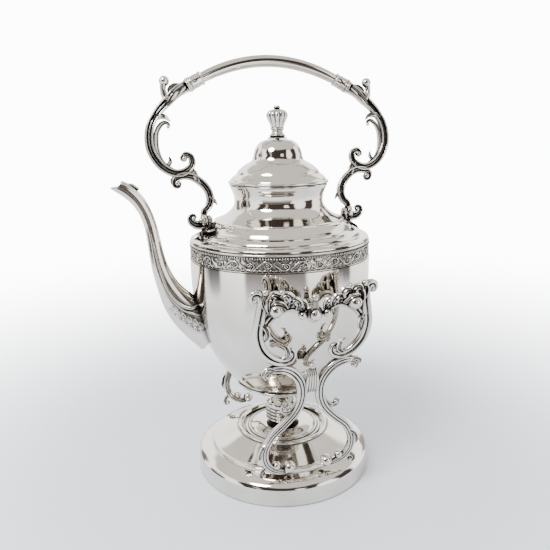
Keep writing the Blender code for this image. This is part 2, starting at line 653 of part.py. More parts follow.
def build_lid():
    rim = NECK_TOP_Z + GAP
    side = lid_side()
    hole = STUD_RADIUS + GAP
    top = [(hole, LID_TOP_Z), (hole, LID_TOP_Z - LID_SHEET)]
    inner = offset(side[2:], -LID_SHEET)[::-1]
    inner[0] = (inner[0][0], LID_TOP_Z - LID_SHEET)
    bezel = NECK_RADIUS - SHOULDER_SHEET - BEZEL_FIT
    under = [(bezel + GAP + 0.0012, rim + 0.0018), (bezel + GAP, rim)]
    spun("lid_shell", side + top + inner[:-2] + under)
    top_z = rim + 0.0008
    spun("lid_bezel", [(bezel - BEZEL_SHEET, rim - BEZEL_DEPTH), (bezel, rim - BEZEL_DEPTH),
                       (bezel, top_z), (bezel - BEZEL_SHEET, top_z)])
    seat = LID_TOP_Z + GAP
    bore = STUD_RADIUS + GAP
    knob = [(0.0080, seat), (0.0083, seat + 0.0010), (0.0068, seat + 0.0027), (0.0050, seat + 0.0065),
            (0.0057, seat + 0.0100), (0.0071, seat + 0.0140), (0.0093, seat + 0.0180),
            (0.0088, seat + 0.0210), (0.0055, seat + 0.0232), (0.0030, seat + 0.0245),
            (0.0026, seat + 0.0260), (0.0, seat + FINIAL_HEIGHT)]
    hole_top = seat + 0.0075
    spun("finial", knob + [(0.0, hole_top), (bore, hole_top), (bore, seat)], SMALL_ROUND)
    head = LID_TOP_Z - LID_SHEET - GAP
    spun("finial_nut", [(0.0, head - STUD_HEAD_THICK), (STUD_HEAD_RADIUS, head - STUD_HEAD_THICK),
                             (STUD_HEAD_RADIUS, head), (STUD_RADIUS, head),
                             (STUD_RADIUS, hole_top - GAP), (0.0, hole_top - GAP)], SMALL_ROUND)


# ---------------------------------------------------------------- swing handle
UPPER_SCROLL = [(0.0800, 0.3390), (0.0875, 0.3325), (0.0948, 0.3261), (0.0998, 0.3195),
                (0.1032, 0.3135), (0.1052, 0.3068), (0.1058, 0.3000), (0.1050, 0.2930),
                (0.1022, 0.2865), (0.0978, 0.2803), (0.0916, 0.2757), (0.0845, 0.2735),
                (0.0776, 0.2755), (0.0732, 0.2805), (0.0740, 0.2862), (0.0785, 0.2862)]
LOWER_SCROLL = [(0.0870, 0.2625), (0.0840, 0.2680), (0.0775, 0.2705), (0.0700, 0.2680),
                (0.0620, 0.2600), (0.0588, 0.2520), (0.0605, 0.2462)]
CREST = [(0.0870, 0.3330), (0.0908, 0.3380), (0.0905, 0.3450)]
CREST_BALL = (0.0903, 0.3475, 0.0036)
TAIL = [(0.0664, 0.2290), (0.0712, 0.2268), (0.0775, 0.2290), (0.0790, 0.2340)]
INNER_CURL = [(0.1035, 0.3050), (0.0985, 0.3135), (0.0935, 0.3165), (0.0905, 0.3130)]


def grip_height(across):
    return GRIP_TOP_Z - GRIP_SAG * (across / GRIP_HALF) ** 2


def handle_end():
    """The grip's end and the way it points there, in the handle's own plane."""
    slope = math.atan(2.0 * GRIP_SAG / GRIP_HALF)
    return Vector((GRIP_HALF, grip_height(GRIP_HALF))), Vector((math.cos(slope), -math.sin(slope)))


def swung(across, height):
    """A point of the handle's own plane, leaned back about the hinge line."""
    rise = height - HINGE_Z
    return Vector((across, rise * math.sin(HANDLE_LEAN), HINGE_Z + rise * math.cos(HANDLE_LEAN)))


def handle_depth():
    """The direction square to the handle's own plane."""
    return Vector((0.0, math.cos(HANDLE_LEAN), -math.sin(HANDLE_LEAN)))


def build_mount(name, side):
    """Leaf-shaped foot soldered to the shoulder, with a lug for the handle's hinge pin."""
    lug_in = HINGE_LUG_X
    lug_out = HINGE_LUG_X + HINGE_LUG_THICK
    centre = Vector((0.0, 0.0, HINGE_Z))
    reach = Vector((side, 0.0, 0.0))
    lug = rod(name, centre + reach * lug_in, centre + reach * lug_out, HINGE_LUG_RADIUS, 16)
    middle = side * (lug_in + lug_out) / 2.0
    helpers = []
    bm = bmesh.new()
    bmesh.ops.create_cube(bm, size=1.0)
    for vert in bm.verts:
        wide = 0.0095 if vert.co.z < 0 else 0.0070
        vert.co.y *= wide
        vert.co.x = middle + vert.co.x * HINGE_LUG_THICK
        vert.co.z = HINGE_Z - 0.0130 if vert.co.z < 0 else HINGE_Z - 0.0010
    helpers.append(make_object(name + "_web", bm))
    pad_centre = Vector((side * (HINGE_LUG_X + 0.0050), 0.0, HINGE_Z - 0.0125))
    helpers.append(ball(name + "_pad", pad_centre, 0.0095, 0.40))
    boolean(lug, "UNION", helpers)
    bore = rod(name + "_bore", centre + reach * (lug_in - 0.01), centre + reach * (lug_out + 0.01),
               HINGE_PIN_RADIUS + PIN_CLEARANCE, 12)
    boolean(lug, "DIFFERENCE", [bore, body_cutter(name + "_cutter")])


def build_hinge_pin(name, side):
    length = HINGE_LUG_THICK + HINGE_EYE_THICK + 3.0 * GAP
    head = 0.0014
    outline = [(0.0, -head), (HINGE_PIN_RADIUS + 0.0010, -head), (HINGE_PIN_RADIUS + 0.0012, -GAP),
               (HINGE_PIN_RADIUS, -GAP), (HINGE_PIN_RADIUS, length),
               (HINGE_PIN_RADIUS + 0.0012, length), (HINGE_PIN_RADIUS + 0.0008, length + head),
               (0.0, length + head)]
    start = Vector((side * HINGE_LUG_X, 0.0, HINGE_Z))
    turned(name, start, Vector((side, 0.0, 0.0)), outline, 12)


def build_bracket(name, side):
    """One cast bracket of the swing handle, from its hinge eye up to the ferrule."""
    def place(across, height):
        return swung(side * across, height)

    depth = handle_depth()
    eye_in = HINGE_LUG_X + HINGE_LUG_THICK + GAP
    start = place(eye_in, HINGE_Z)
    end = place(eye_in + HINGE_EYE_THICK, HINGE_Z)
    eye = rod(name, start, end, HINGE_EYE_RADIUS, 16)
    eye_middle = eye_in + HINGE_EYE_THICK * 0.5
    lower = LOWER_SCROLL + [(eye_middle - 0.0014, HINGE_Z + 0.0090), (eye_middle + 0.0003, HINGE_Z + 0.0050)]
    grip_end, along = handle_end()
    spigot_start = grip_end + along * 0.0010
    spigot_end = grip_end + along * 0.0120
    helpers = [
        rod(name + "_spigot", place(*spigot_start), place(*spigot_end), GRIP_END_RADIUS, 12),
        strand(name + "_upper", [spigot_end - along * 0.0016] + UPPER_SCROLL, place, BRACKET_HALF,
               BRACKET_DEPTH, depth, 1.0),
        strand(name + "_lower", lower, place, BRACKET_HALF * 0.92, BRACKET_DEPTH * 0.8, depth, 0.6,
               0.7),
        strand(name + "_crest", CREST, place, BRACKET_HALF * 0.75, BRACKET_DEPTH * 0.8, depth, 0.8),
        strand(name + "_tail", TAIL, place, BRACKET_HALF * 0.62, BRACKET_DEPTH * 0.7, depth, 1.0),
        strand(name + "_curl", INNER_CURL, place, BRACKET_HALF * 0.6, BRACKET_DEPTH * 0.7, depth, 1.0),
        ball(name + "_scroll_ball", place(CREST_BALL[0], CREST_BALL[1]), CREST_BALL[2]),
    ]
    boolean(eye, "UNION", helpers)
    reach = Vector((side * 0.004, 0.0, 0.0))
    bore = rod(name + "_bore", start - reach, end + reach, HINGE_PIN_RADIUS + PIN_CLEARANCE, 12)
    boolean(eye, "DIFFERENCE", [bore])
    weld(eye)


def build_ferrule(name, side):
    grip_end, along = handle_end()
    start = grip_end - along * 0.0050
    ahead = grip_end + along
    reach = swung(side * ahead.x, ahead.y) - swung(side * grip_end.x, grip_end.y)
    bore = GRIP_END_RADIUS + GAP
    out = bore + FERRULE_WALL
    lip = out + FERRULE_RING
    length = FERRULE_LENGTH
    outline = [(bore, 0.0), (out, 0.0), (lip, 0.0010), (out, 0.0022), (out, length - 0.0022),
               (lip, length - 0.0010), (out, length), (bore, length)]
    turned(name, swung(side * start.x, start.y), reach.normalized(), outline)


def build_grip():
    seat = GRIP_HALF - 0.0060 * handle_end()[1].x
    path = []
    radii = []
    steps = 16
    for k in range(steps + 1):
        across = -GRIP_HALF + 2.0 * GRIP_HALF * k / steps
        path.append(swung(across, grip_height(across)))
        swell = 1.0 - (across / seat) ** 2
        radii.append(GRIP_END_RADIUS + (GRIP_RADIUS - GRIP_END_RADIUS) * max(swell, 0.0))
    bm = bmesh.new()
    strand_mesh(bm, path, radii, radii, handle_depth(), SMALL_ROUND)
    make_object("grip", bm)


clear_scene()
build_base()
build_lamp()
build_kettle_body()
build_spout()
build_lid()
build_grip()
build_trunnion("front_trunnion", -1.0)
build_trunnion("back_trunnion", 1.0)
build_frame("front_frame", -1.0)
build_frame("back_frame", 1.0)
for word, side in (("left", -1.0), ("right", 1.0)):
    build_mount(word + "_handle_mount", side)
    build_hinge_pin(word + "_hinge_pin", side)
    build_bracket(word + "_bracket", side)
    build_ferrule(word + "_ferrule", side)
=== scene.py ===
# %% [markdown]
# A silver-plated spirit kettle: a kettle with a swing handle, hung between two cast scroll
# frames over a small spirit lamp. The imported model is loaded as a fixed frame, and every piece
# made here rides on one of its bodies, so the kettle still tilts and the lid still lifts.

# %% load the frame
import json
import math

import bmesh
import bpy
from mathutils import Matrix, Vector


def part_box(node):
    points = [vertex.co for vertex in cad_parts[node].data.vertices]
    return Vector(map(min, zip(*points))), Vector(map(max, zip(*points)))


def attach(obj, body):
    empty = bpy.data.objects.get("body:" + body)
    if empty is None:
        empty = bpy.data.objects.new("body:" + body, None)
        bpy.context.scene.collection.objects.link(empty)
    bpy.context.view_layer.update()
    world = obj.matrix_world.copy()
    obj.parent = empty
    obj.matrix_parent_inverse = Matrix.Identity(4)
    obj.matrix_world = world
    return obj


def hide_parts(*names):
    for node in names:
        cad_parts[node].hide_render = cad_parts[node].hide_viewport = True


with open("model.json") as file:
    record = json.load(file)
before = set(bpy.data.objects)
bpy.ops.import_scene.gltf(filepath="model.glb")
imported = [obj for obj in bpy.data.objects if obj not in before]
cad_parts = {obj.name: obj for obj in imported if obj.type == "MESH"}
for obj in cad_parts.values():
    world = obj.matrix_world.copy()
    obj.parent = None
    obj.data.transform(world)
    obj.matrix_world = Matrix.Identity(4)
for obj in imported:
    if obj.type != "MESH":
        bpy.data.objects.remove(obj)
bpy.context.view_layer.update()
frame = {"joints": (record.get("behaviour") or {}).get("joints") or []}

MM = 0.001

# %% [markdown]
# Heights and radii are read from the frame's own nodes, in millimetres, so each new piece
# lands exactly on the solid that it stands for.


# %% measure the frame
def size_of(node):
    """(largest radius from the axis along X, lowest height, highest height) in millimetres."""
    low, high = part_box(node)
    return high.x / MM, low.z / MM, high.z / MM


BASE_R = size_of("base_shell")[0]
BOWL_R, _, BOWL_TOP = size_of("bowl")
BOWL_LOW = size_of("bowl_bottom")[1]
BAND_R, BAND_LOW, BAND_TOP = size_of("ornament_band")
NECK_R, NECK_LOW, NECK_TOP = size_of("shoulder_neck")
LID_R, LID_LOW, LID_TOP = size_of("lid_shell")
_, KNOB_LOW, KNOB_TOP = size_of("finial")
_, CAP_LOW, CAP_TOP = size_of("snuffer_cap")
LAMP_R, LAMP_LOW, LAMP_TOP = size_of("lamp_reservoir")
_, COLLAR_LOW, COLLAR_TOP = size_of("lamp_collar")
for joint in frame["joints"]:
    print("joint:", joint["name"], joint["type"])

# %% [markdown]
# Colours are given as sRGB hex, as a paint chart gives them, and one function turns them to the
# linear values that a shader works in. One more function adds a node with its settings and links.


# %% colour and node helpers
def linear(code):
    """An sRGB hex colour such as 'F0ECE2' as a linear RGBA tuple."""
    parts = [int(code[i:i + 2], 16) / 255.0 for i in (0, 2, 4)]
    return tuple(c / 12.92 if c <= 0.04045 else ((c + 0.055) / 1.055) ** 2.4 for c in parts) + (1.0,)


def add(tree, kind, settings=None, **links):
    """Add a node: settings go on its attributes or sockets, and links come from other sockets."""
    node = tree.nodes.new(kind)
    for key, value in (settings or {}).items():
        if isinstance(key, int) or key in node.inputs:
            node.inputs[key].default_value = value
        else:
            setattr(node, key, value)
    for key, source in links.items():
        name = key.replace("_", " ")
        socket = node.inputs[int(key[1:])] if key[1:].isdigit() else node.inputs[name]
        tree.links.new(source, socket)
    return node


# %% [markdown]
# Silver plate is a thin coat of pure silver on brass or white metal, buffed to a mirror. Its
# colour is almost white with a little warmth. Two things keep it from looking like chrome: the
# buffing leaves very faint waves and hairlines, and dark sulphide stays wherever the polishing
# cloth can't reach. The dark is put where an occlusion lookup finds a recess, so it follows the
# real grooves, and it is duller than the metal round it.


# %% silver plate
def silver_plate(name, reach_mm, open_at, shut_at, dark, wave_mm, wave, haze):
    """Mirror-polished silver plate. reach_mm is how wide a groove still holds tarnish."""
    mat = bpy.data.materials.new(name)
    mat.use_nodes = True
    tree = mat.node_tree
    shader = tree.nodes["Principled BSDF"]
    shader.inputs["Metallic"].default_value = 1.0
    place = add(tree, "ShaderNodeTexCoord").outputs["Object"]
    hidden = add(tree, "ShaderNodeAmbientOcclusion", {"samples": 8, "Distance": reach_mm * MM})
    cloud = add(tree, "ShaderNodeTexNoise", {"Scale": 90.0, "Detail": 4.0, "Roughness": 0.6},
                Vector=place)
    worn = add(tree, "ShaderNodeMapRange",
               {"From Min": open_at, "From Max": shut_at, "To Min": 0.0, "To Max": dark},
               Value=hidden.outputs["AO"])
    patchy = add(tree, "ShaderNodeMath", {"operation": "MULTIPLY_ADD", 1: 0.9, 2: 0.5},
                 i0=cloud.outputs["Fac"])
    held = add(tree, "ShaderNodeMath", {"operation": "MULTIPLY", "use_clamp": True},
               i0=worn.outputs["Result"], i1=patchy.outputs["Value"])
    bloom = add(tree, "ShaderNodeTexNoise", {"Scale": 28.0, "Detail": 3.0}, Vector=place)
    tone = add(tree, "ShaderNodeValToRGB", {}, Fac=bloom.outputs["Fac"])
    tone.color_ramp.elements[0].position = 0.30
    tone.color_ramp.elements[0].color = linear("CBC5BC")
    tone.color_ramp.elements[1].position = 0.72
    tone.color_ramp.elements[1].color = linear("DEDAD3")
    colour = add(tree, "ShaderNodeMix", {"data_type": "RGBA", 7: linear("1C1715")},
                 i0=held.outputs["Value"], i6=tone.outputs["Color"])
    tree.links.new(colour.outputs[2], shader.inputs["Base Color"])
    rough = add(tree, "ShaderNodeMapRange", {"To Min": haze, "To Max": 0.42},
                Value=held.outputs["Value"])
    tree.links.new(rough.outputs["Result"], shader.inputs["Roughness"])
    waves = add(tree, "ShaderNodeTexNoise", {"Scale": 1.0 / (wave_mm * MM), "Detail": 2.0},
                Vector=place)
    bump = add(tree, "ShaderNodeBump", {"Strength": 1.0, "Distance": wave * MM},
               Height=waves.outputs["Fac"])
    tree.links.new(bump.outputs["Normal"], shader.inputs["Normal"])
    return mat


spun_silver = silver_plate("spun_silver_plate", 2.6, 0.80, 0.35, 0.9, 34.0, 0.14, 0.07)
cast_silver = silver_plate("cast_silver_plate", 6.0, 0.97, 0.50, 1.7, 5.0, 0.05, 0.12)
print("made:", spun_silver.name, cast_silver.name)

# %% [markdown]
# The wick is braided cotton: thick soft threads about a millimetre wide, crossing at an angle.
# A wave texture gives the threads, and the cotton scatters light with no shine.


# %% cotton braid
def cotton_braid():
    mat = bpy.data.materials.new("braided_cotton")
    mat.use_nodes = True
    tree = mat.node_tree
    shader = tree.nodes["Principled BSDF"]
    shader.inputs["Roughness"].default_value = 0.95
    place = add(tree, "ShaderNodeTexCoord").outputs["Object"]
    thread = add(tree, "ShaderNodeTexWave", {"Scale": 160.0, "Distortion": 1.5}, Vector=place)
    tone = add(tree, "ShaderNodeValToRGB", {}, Fac=thread.outputs["Fac"])
    tone.color_ramp.elements[0].color = linear("B9AE97")
    tone.color_ramp.elements[1].color = linear("EDE6D6")
    tree.links.new(tone.outputs["Color"], shader.inputs["Base Color"])
    bump = add(tree, "ShaderNodeBump", {"Strength": 0.8, "Distance": 0.3 * MM},
               Height=thread.outputs["Fac"])
    tree.links.new(bump.outputs["Normal"], shader.inputs["Normal"])
    return mat


cotton = cotton_braid()
print("made:", cotton.name)

# %% [markdown]
# Every spun piece is drawn as an outline of (radius, height) points and spun about the axis, as
# a metal spinner works a disc over a form. A single corner is extruded from point to point, the
# chain is spun through a full turn, its doubled seam is merged, and its normals are put right.


# %% spinning helpers
SPUN_MERGE = 0.002 * MM


def only(obj):
    """Make one object the selected and active one."""
    for other in bpy.context.selected_objects:
        other.select_set(False)
    obj.select_set(True)
    bpy.context.view_layer.objects.active = obj


def nothing_selected():
    for other in list(bpy.context.selected_objects):
        other.select_set(False)


def flow(points, cuts=6):
    """A smooth curve through flat points (Catmull-Rom)."""
    ends = [Vector(p) for p in points]
    padded = [2 * ends[0] - ends[1]] + ends + [2 * ends[-1] - ends[-2]]
    curve = []
    for i in range(1, len(padded) - 2):
        a, b, c, d = padded[i - 1:i + 3]
        for k in range(cuts):
            t = k / cuts
            curve.append(0.5 * (2 * b + (c - a) * t + (2 * a - 5 * b + 4 * c - d) * t * t
                                + (3 * b - a - 3 * c + d) * t ** 3))
    curve.append(ends[-1])
    return [tuple(p) for p in curve]


def roll(radius, height, size, start=-90.0, end=90.0, cuts=8):
    """An arc of a round moulding: angles are measured from straight out, upwards."""
    arc = []
    for k in range(cuts + 1):
        angle = math.radians(start + (end - start) * k / cuts)
        arc.append((radius + size * math.cos(angle), height + size * math.sin(angle)))
    return arc


def spin(name, outline, steps=128, closed=True):
    """Spin an outline of (radius, height) in millimetres into a solid of revolution."""
    nothing_selected()
    bpy.ops.mesh.primitive_plane_add(size=1.0 * MM)
    obj = bpy.context.object
    obj.name = name
    chain = [Vector((r * MM, 0.0, z * MM)) for r, z in outline]
    if closed:
        chain.append(chain[0])
    bpy.ops.object.mode_set(mode="EDIT")
    bpy.ops.mesh.select_all(action="SELECT")
    bpy.ops.mesh.merge(type="CENTER")
    bpy.ops.transform.translate(value=chain[0])
    for here, there in zip(chain, chain[1:]):
        bpy.ops.mesh.extrude_region_move(TRANSFORM_OT_translate={"value": there - here})
    bpy.ops.mesh.select_all(action="SELECT")
    bpy.ops.mesh.spin(steps=steps, angle=2.0 * math.pi, center=(0, 0, 0), axis=(0, 0, 1))
    bpy.ops.mesh.select_all(action="SELECT")
    bpy.ops.mesh.remove_doubles(threshold=SPUN_MERGE)
    bpy.ops.mesh.normals_make_consistent(inside=False)
    bpy.ops.object.mode_set(mode="OBJECT")
    return obj


def finish_piece(obj, mat, body, *nodes, slot="silver_plate", angle=35.0):
    """Shade a piece smooth, give it its finish, and hang it on its body."""
    only(obj)
    bpy.ops.object.shade_smooth_by_angle(angle=math.radians(angle))
    obj.data.materials.clear()
    obj.data.materials.append(mat)
    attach(obj, body)
    if nodes:
        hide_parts(*nodes)
    print(obj.name, len(obj.data.polygons), "faces")
    return obj


# %% [markdown]
# The base is spun from one disc: an upright wall, a rolled edge, a broad slope, a cut step, a
# second slope, and a small rolled lip round the well where the lamp sits.

# %% base
base_line = [(BASE_R - 1.4, 0.0)] + roll(BASE_R - 0.8, 0.8, 0.8, -90, 0, 4)
base_line += [(BASE_R, 8.0), (BASE_R, 13.2)]
base_line += flow([(BASE_R, 13.6), (BASE_R - 0.3, 15.3), (BASE_R - 1.3, 17.0), (BASE_R - 3.2, 18.9),
                   (BASE_R - 7.0, 21.1), (BASE_R - 11.2, 22.9), (BASE_R - 12.3, 23.3)], 5)
base_line += [(BASE_R - 13.0, 23.2), (BASE_R - 13.5, 23.5), (BASE_R - 13.7, 24.6)]
base_line += roll(BASE_R - 14.8, 25.2, 1.1, 0, 110, 6)
base_line += flow([(BASE_R - 17.0, 26.6), (BASE_R - 22.0, 28.6), (BASE_R - 28.0, 31.2),
                   (BASE_R - 33.5, 33.7), (BASE_R - 36.6, 35.2)], 5)
base_line += [(BASE_R - 37.2, 34.7), (BASE_R - 37.7, 34.9)]
base_line += roll(BASE_R - 39.3, 36.2, 1.5, -20, 150, 10)
base_line += [(BASE_R - 41.2, 35.6), (BASE_R - 41.8, 35.6), (BASE_R - 42.0, 34.0), (BASE_R - 42.0, 32.5)]
base_line += [(0.0, 32.5), (0.0, 31.0), (BASE_R - 41.0, 31.0), (BASE_R - 34.0, 31.4)]
base_line += [(BASE_R - 12.6, 21.4), (BASE_R - 4.0, 17.2), (BASE_R - 1.5, 13.0), (BASE_R - 1.4, 2.0)]
base = finish_piece(spin("spun_base", base_line, 160), spun_silver, "stand", "base_shell")

# %% [markdown]
# A flat plate closes the underside. It is pressed with a shallow ring so that it stays flat.

# %% underside plate
plate_r = size_of("base_plate")[0]
plate_line = [(0.0, 0.0), (plate_r * 0.55, 0.0), (plate_r * 0.56, 0.5), (plate_r * 0.60, 0.5),
              (plate_r * 0.61, 0.0), (plate_r - 0.4, 0.0), (plate_r, 0.4), (plate_r, 1.2), (0.0, 1.2)]
finish_piece(spin("underside_plate", plate_line, 96), spun_silver, "stand", "base_plate")

# %% [markdown]
# The lamp is spun too: a squat font with a flange, a collar ringed like a screw, and a
# snuffer cap. The wick stands in a thin tube inside the collar.

# %% lamp
lamp_line = [(0.0, LAMP_LOW), (LAMP_R - 1.4, LAMP_LOW)] + roll(LAMP_R - 1.0, LAMP_LOW + 1.2, 1.0, -80, 80, 6)
lamp_line += [(LAMP_R - 2.4, LAMP_LOW + 1.8), (LAMP_R - 2.8, LAMP_LOW + 1.5)]
lamp_line += roll(LAMP_R - 3.8, LAMP_LOW + 2.2, 0.9, -10, 130, 6)
lamp_line += [(LAMP_R - 5.0, LAMP_LOW + 2.3)]
lamp_line += flow([(LAMP_R - 5.3, LAMP_LOW + 2.9), (LAMP_R - 7.5, LAMP_LOW + 4.4),
                   (LAMP_R - 12.5, LAMP_LOW + 5.7), (LAMP_R - 18.0, LAMP_TOP), (14.5, LAMP_TOP)], 5)
lamp_line += [(10.0, LAMP_TOP), (10.0, LAMP_TOP - 0.9), (LAMP_R - 10.0, LAMP_TOP - 1.6),
              (LAMP_R - 7.0, LAMP_LOW + 1.2), (0.0, LAMP_LOW + 1.0)]
finish_piece(spin("lamp_font", lamp_line, 128), spun_silver, "lamp", "lamp_reservoir")

RING_PITCH = 3.3
collar_line = [(12.9, COLLAR_LOW), (13.2, COLLAR_LOW + 1.4), (14.6, COLLAR_LOW + 2.9)]
for ring in range(4):
    collar_line += roll(14.5, COLLAR_LOW + 4.2 + ring * RING_PITCH, 1.25, -75, 75, 6)
collar_line += [(14.9, COLLAR_LOW + 16.2), (15.1, COLLAR_TOP - 0.5), (14.8, COLLAR_TOP)]
collar_line += [(6.1, COLLAR_TOP), (6.1, COLLAR_TOP - 1.4), (12.5, COLLAR_TOP - 1.4), (12.4, COLLAR_LOW)]
finish_piece(spin("ringed_collar", collar_line, 96), cast_silver, "lamp", "lamp_collar")

cap_line = roll(14.2, CAP_LOW + 0.8, 0.8, -90, 60, 5)
cap_line += flow([(14.4, CAP_LOW + 1.7), (12.9, CAP_LOW + 3.3), (10.9, CAP_LOW + 5.0),
                  (9.2, CAP_LOW + 6.3)], 4)
cap_line += roll(8.3, CAP_TOP - 0.9, 0.8, -30, 90, 6)
cap_line += [(0.0, CAP_TOP), (0.0, CAP_TOP - 1.4), (7.2, CAP_TOP - 1.6), (13.2, CAP_LOW + 1.0),
             (13.4, CAP_LOW)]
finish_piece(spin("snuffer", cap_line, 96), spun_silver, "snuffer", "snuffer_cap")

tube_r, tube_low, tube_top = size_of("wick_tube")
tube_line = [(tube_r, tube_low), (tube_r, tube_top - 0.3), (tube_r - 0.4, tube_top),
             (tube_r - 0.8, tube_top - 0.3), (tube_r - 0.8, tube_low)]
finish_piece(spin("wick_holder", tube_line, 48), spun_silver, "lamp", "wick_tube")
wick_r, wick_low, wick_top = size_of("wick")
wick_line = [(0.0, wick_low), (wick_r, wick_low)]
wick_line += flow([(wick_r, wick_top - 2.0), (wick_r - 0.1, wick_top - 0.8),
                   (wick_r - 1.2, wick_top - 0.1)], 4)
wick_line += [(0.0, wick_top)]
finish_piece(spin("cotton_wick", wick_line, 40, closed=False), cotton, "lamp", "wick",
             slot="wick_cotton")

# %% [markdown]
# The kettle's bowl is one deep spinning: nearly upright under the band, then drawn in faster and
# faster to a flat bottom. A power curve gives that fullness. Inside is a second skin, 1.4 mm in.

# %% bowl and its foot ring
BOTTOM_R = 41.0
FULLNESS = 2.9
WALL = 1.4


def bowl_radius(height):
    """Outer radius of the bowl at a height, in millimetres."""
    share = max(0.0, (BAND_LOW - 0.3 - height) / (BAND_LOW - 0.3 - BOWL_LOW))
    return BOTTOM_R + (BOWL_R - BOTTOM_R) * (1.0 - share ** FULLNESS)


span = BAND_LOW - 0.3 - BOWL_LOW
heights = [BOWL_LOW + span * (k / 36.0) ** 1.5 for k in range(2, 37)]
bowl_line = [(0.0, BOWL_LOW), (BOTTOM_R - 0.4, BOWL_LOW), (BOTTOM_R + 0.9, BOWL_LOW + 0.5)]
bowl_line += [(bowl_radius(z), z) for z in heights]
bowl_line += [(BOWL_R - 1.4, BAND_LOW), (BOWL_R - 1.4, BOWL_TOP), (BOWL_R - 2.8, BOWL_TOP)]
bowl_line += [(bowl_radius(z) - WALL, z) for z in heights[::-3]]
bowl_line += [(BOTTOM_R - 1.0, BOWL_LOW + WALL), (0.0, BOWL_LOW + WALL)]
finish_piece(spin("kettle_bowl", bowl_line, 192), spun_silver, "kettle", "bowl", "bowl_lower",
             "bowl_bottom")

ring_r, ring_low, ring_top = size_of("kettle_foot_ring")
foot_line = [(ring_r - 2.8, ring_top)] + [(ring_r - 2.8, ring_low + 0.3)] + [(ring_r - 2.4, ring_low)]
foot_line += roll(ring_r - 1.4, ring_low + 0.7, 0.7, -90, 40, 6) + [(ring_r - 1.2, ring_low + 1.3)]
foot_line += roll(ring_r - 0.8, ring_low + 1.9, 0.7, -50, 80, 6) + [(ring_r - 0.9, ring_top)]
finish_piece(spin("kettle_foot", foot_line, 128), spun_silver, "kettle", "kettle_foot_ring")

# %% [markdown]
# Shoulder and neck are one spinning: a bead above the band, two fat rolls with cut lines between
# them, a ring where the neck starts, and a waist that flares to a rolled lip.

# %% shoulder and neck
neck_line = [(NECK_R - 1.2, NECK_LOW)] + roll(NECK_R - 0.8, NECK_LOW + 0.9, 0.9, -80, 80, 8)
neck_line += [(NECK_R - 1.3, NECK_LOW + 1.9), (NECK_R - 1.1, NECK_LOW + 2.2)]
neck_line += flow([(NECK_R - 0.6, NECK_LOW + 2.7), (NECK_R - 1.0, NECK_LOW + 4.0),
                   (NECK_R - 3.0, NECK_LOW + 5.2), (NECK_R - 5.6, NECK_LOW + 5.7),
                   (NECK_R - 7.2, NECK_LOW + 5.6)], 6)
neck_line += [(NECK_R - 7.8, NECK_LOW + 6.0)]
neck_line += flow([(NECK_R - 7.9, NECK_LOW + 6.8), (NECK_R - 9.0, NECK_LOW + 8.3),
                   (NECK_R - 11.6, NECK_LOW + 9.8), (NECK_R - 14.2, NECK_LOW + 10.7),
                   (NECK_R - 15.6, NECK_LOW + 11.0)], 6)
neck_line += [(NECK_R - 16.1, NECK_LOW + 11.6)]
neck_line += flow([(NECK_R - 16.6, NECK_LOW + 13.0), (NECK_R - 18.6, NECK_LOW + 15.4),
                   (NECK_R - 21.6, NECK_LOW + 17.5)], 5)
neck_line += roll(NECK_R - 22.6, NECK_LOW + 18.4, 0.8, -30, 110, 6)
neck_line += flow([(NECK_R - 24.0, NECK_LOW + 19.2), (NECK_R - 28.0, NECK_LOW + 21.2), (45.6, 236.9),
                   (41.6, 240.4), (39.1, 244.0), (38.3, 248.0), (38.8, 252.4), (40.2, 256.4),
                   (41.2, 258.8)], 6)
neck_line += roll(41.4, NECK_TOP - 1.0, 0.95, -70, 90, 8)
neck_line += [(39.6, NECK_TOP), (38.9, NECK_TOP - 1.2), (37.4, 252.4), (37.0, 248.0), (37.8, 243.4),
              (40.6, 239.4), (44.8, 235.6), (50.0, 232.6), (58.0, 227.4), (66.0, 220.0), (73.0, 215.5),
              (75.6, NECK_LOW)]
finish_piece(spin("shoulder_and_neck", neck_line, 192), spun_silver, "kettle", "shoulder_neck")

# %% [markdown]
# The lid is bell-shaped: a thin rolled rim, a shallow slope, a soft roll, then a dome. Its bezel
# is a plain ring inside the neck.

# %% lid
lid_line = [(36.9, LID_LOW), (41.9, LID_LOW)] + roll(LID_R - 1.1, LID_LOW + 1.1, 1.05, -80, 60, 8)
lid_line += flow([(LID_R - 1.6, LID_LOW + 2.5), (LID_R - 2.6, LID_LOW + 4.0), (LID_R - 5.0, LID_LOW + 6.2),
                  (LID_R - 7.2, LID_LOW + 7.6)], 5)
lid_line += [(LID_R - 7.7, LID_LOW + 8.2)]
lid_line += flow([(LID_R - 8.0, LID_LOW + 9.1), (LID_R - 9.6, LID_LOW + 11.4),
                  (LID_R - 12.6, LID_LOW + 13.9), (LID_R - 15.6, LID_LOW + 15.9),
                  (LID_R - 17.4, LID_LOW + 16.8)], 6)
lid_line += flow([(LID_R - 18.6, LID_LOW + 17.4), (LID_R - 21.0, LID_LOW + 19.2),
                  (LID_R - 22.3, LID_LOW + 22.0), (LID_R - 23.0, LID_LOW + 25.4),
                  (LID_R - 24.5, LID_LOW + 29.4), (LID_R - 27.2, LID_LOW + 33.0),
                  (LID_R - 30.8, LID_LOW + 35.4), (LID_R - 35.0, LID_TOP)], 6)
lid_line += [(2.1, LID_TOP), (2.1, LID_TOP - 1.2), (9.0, LID_TOP - 1.2), (15.0, LID_TOP - 4.8),
             (18.6, LID_TOP - 10.0), (19.8, LID_TOP - 15.8), (24.0, LID_TOP - 20.2), (33.6, LID_TOP - 28.0),
             (37.8, LID_LOW + 1.8)]
finish_piece(spin("lid_bell", lid_line, 160), spun_silver, "lid", "lid_shell")
bezel_r, bezel_low, bezel_top = size_of("lid_bezel")
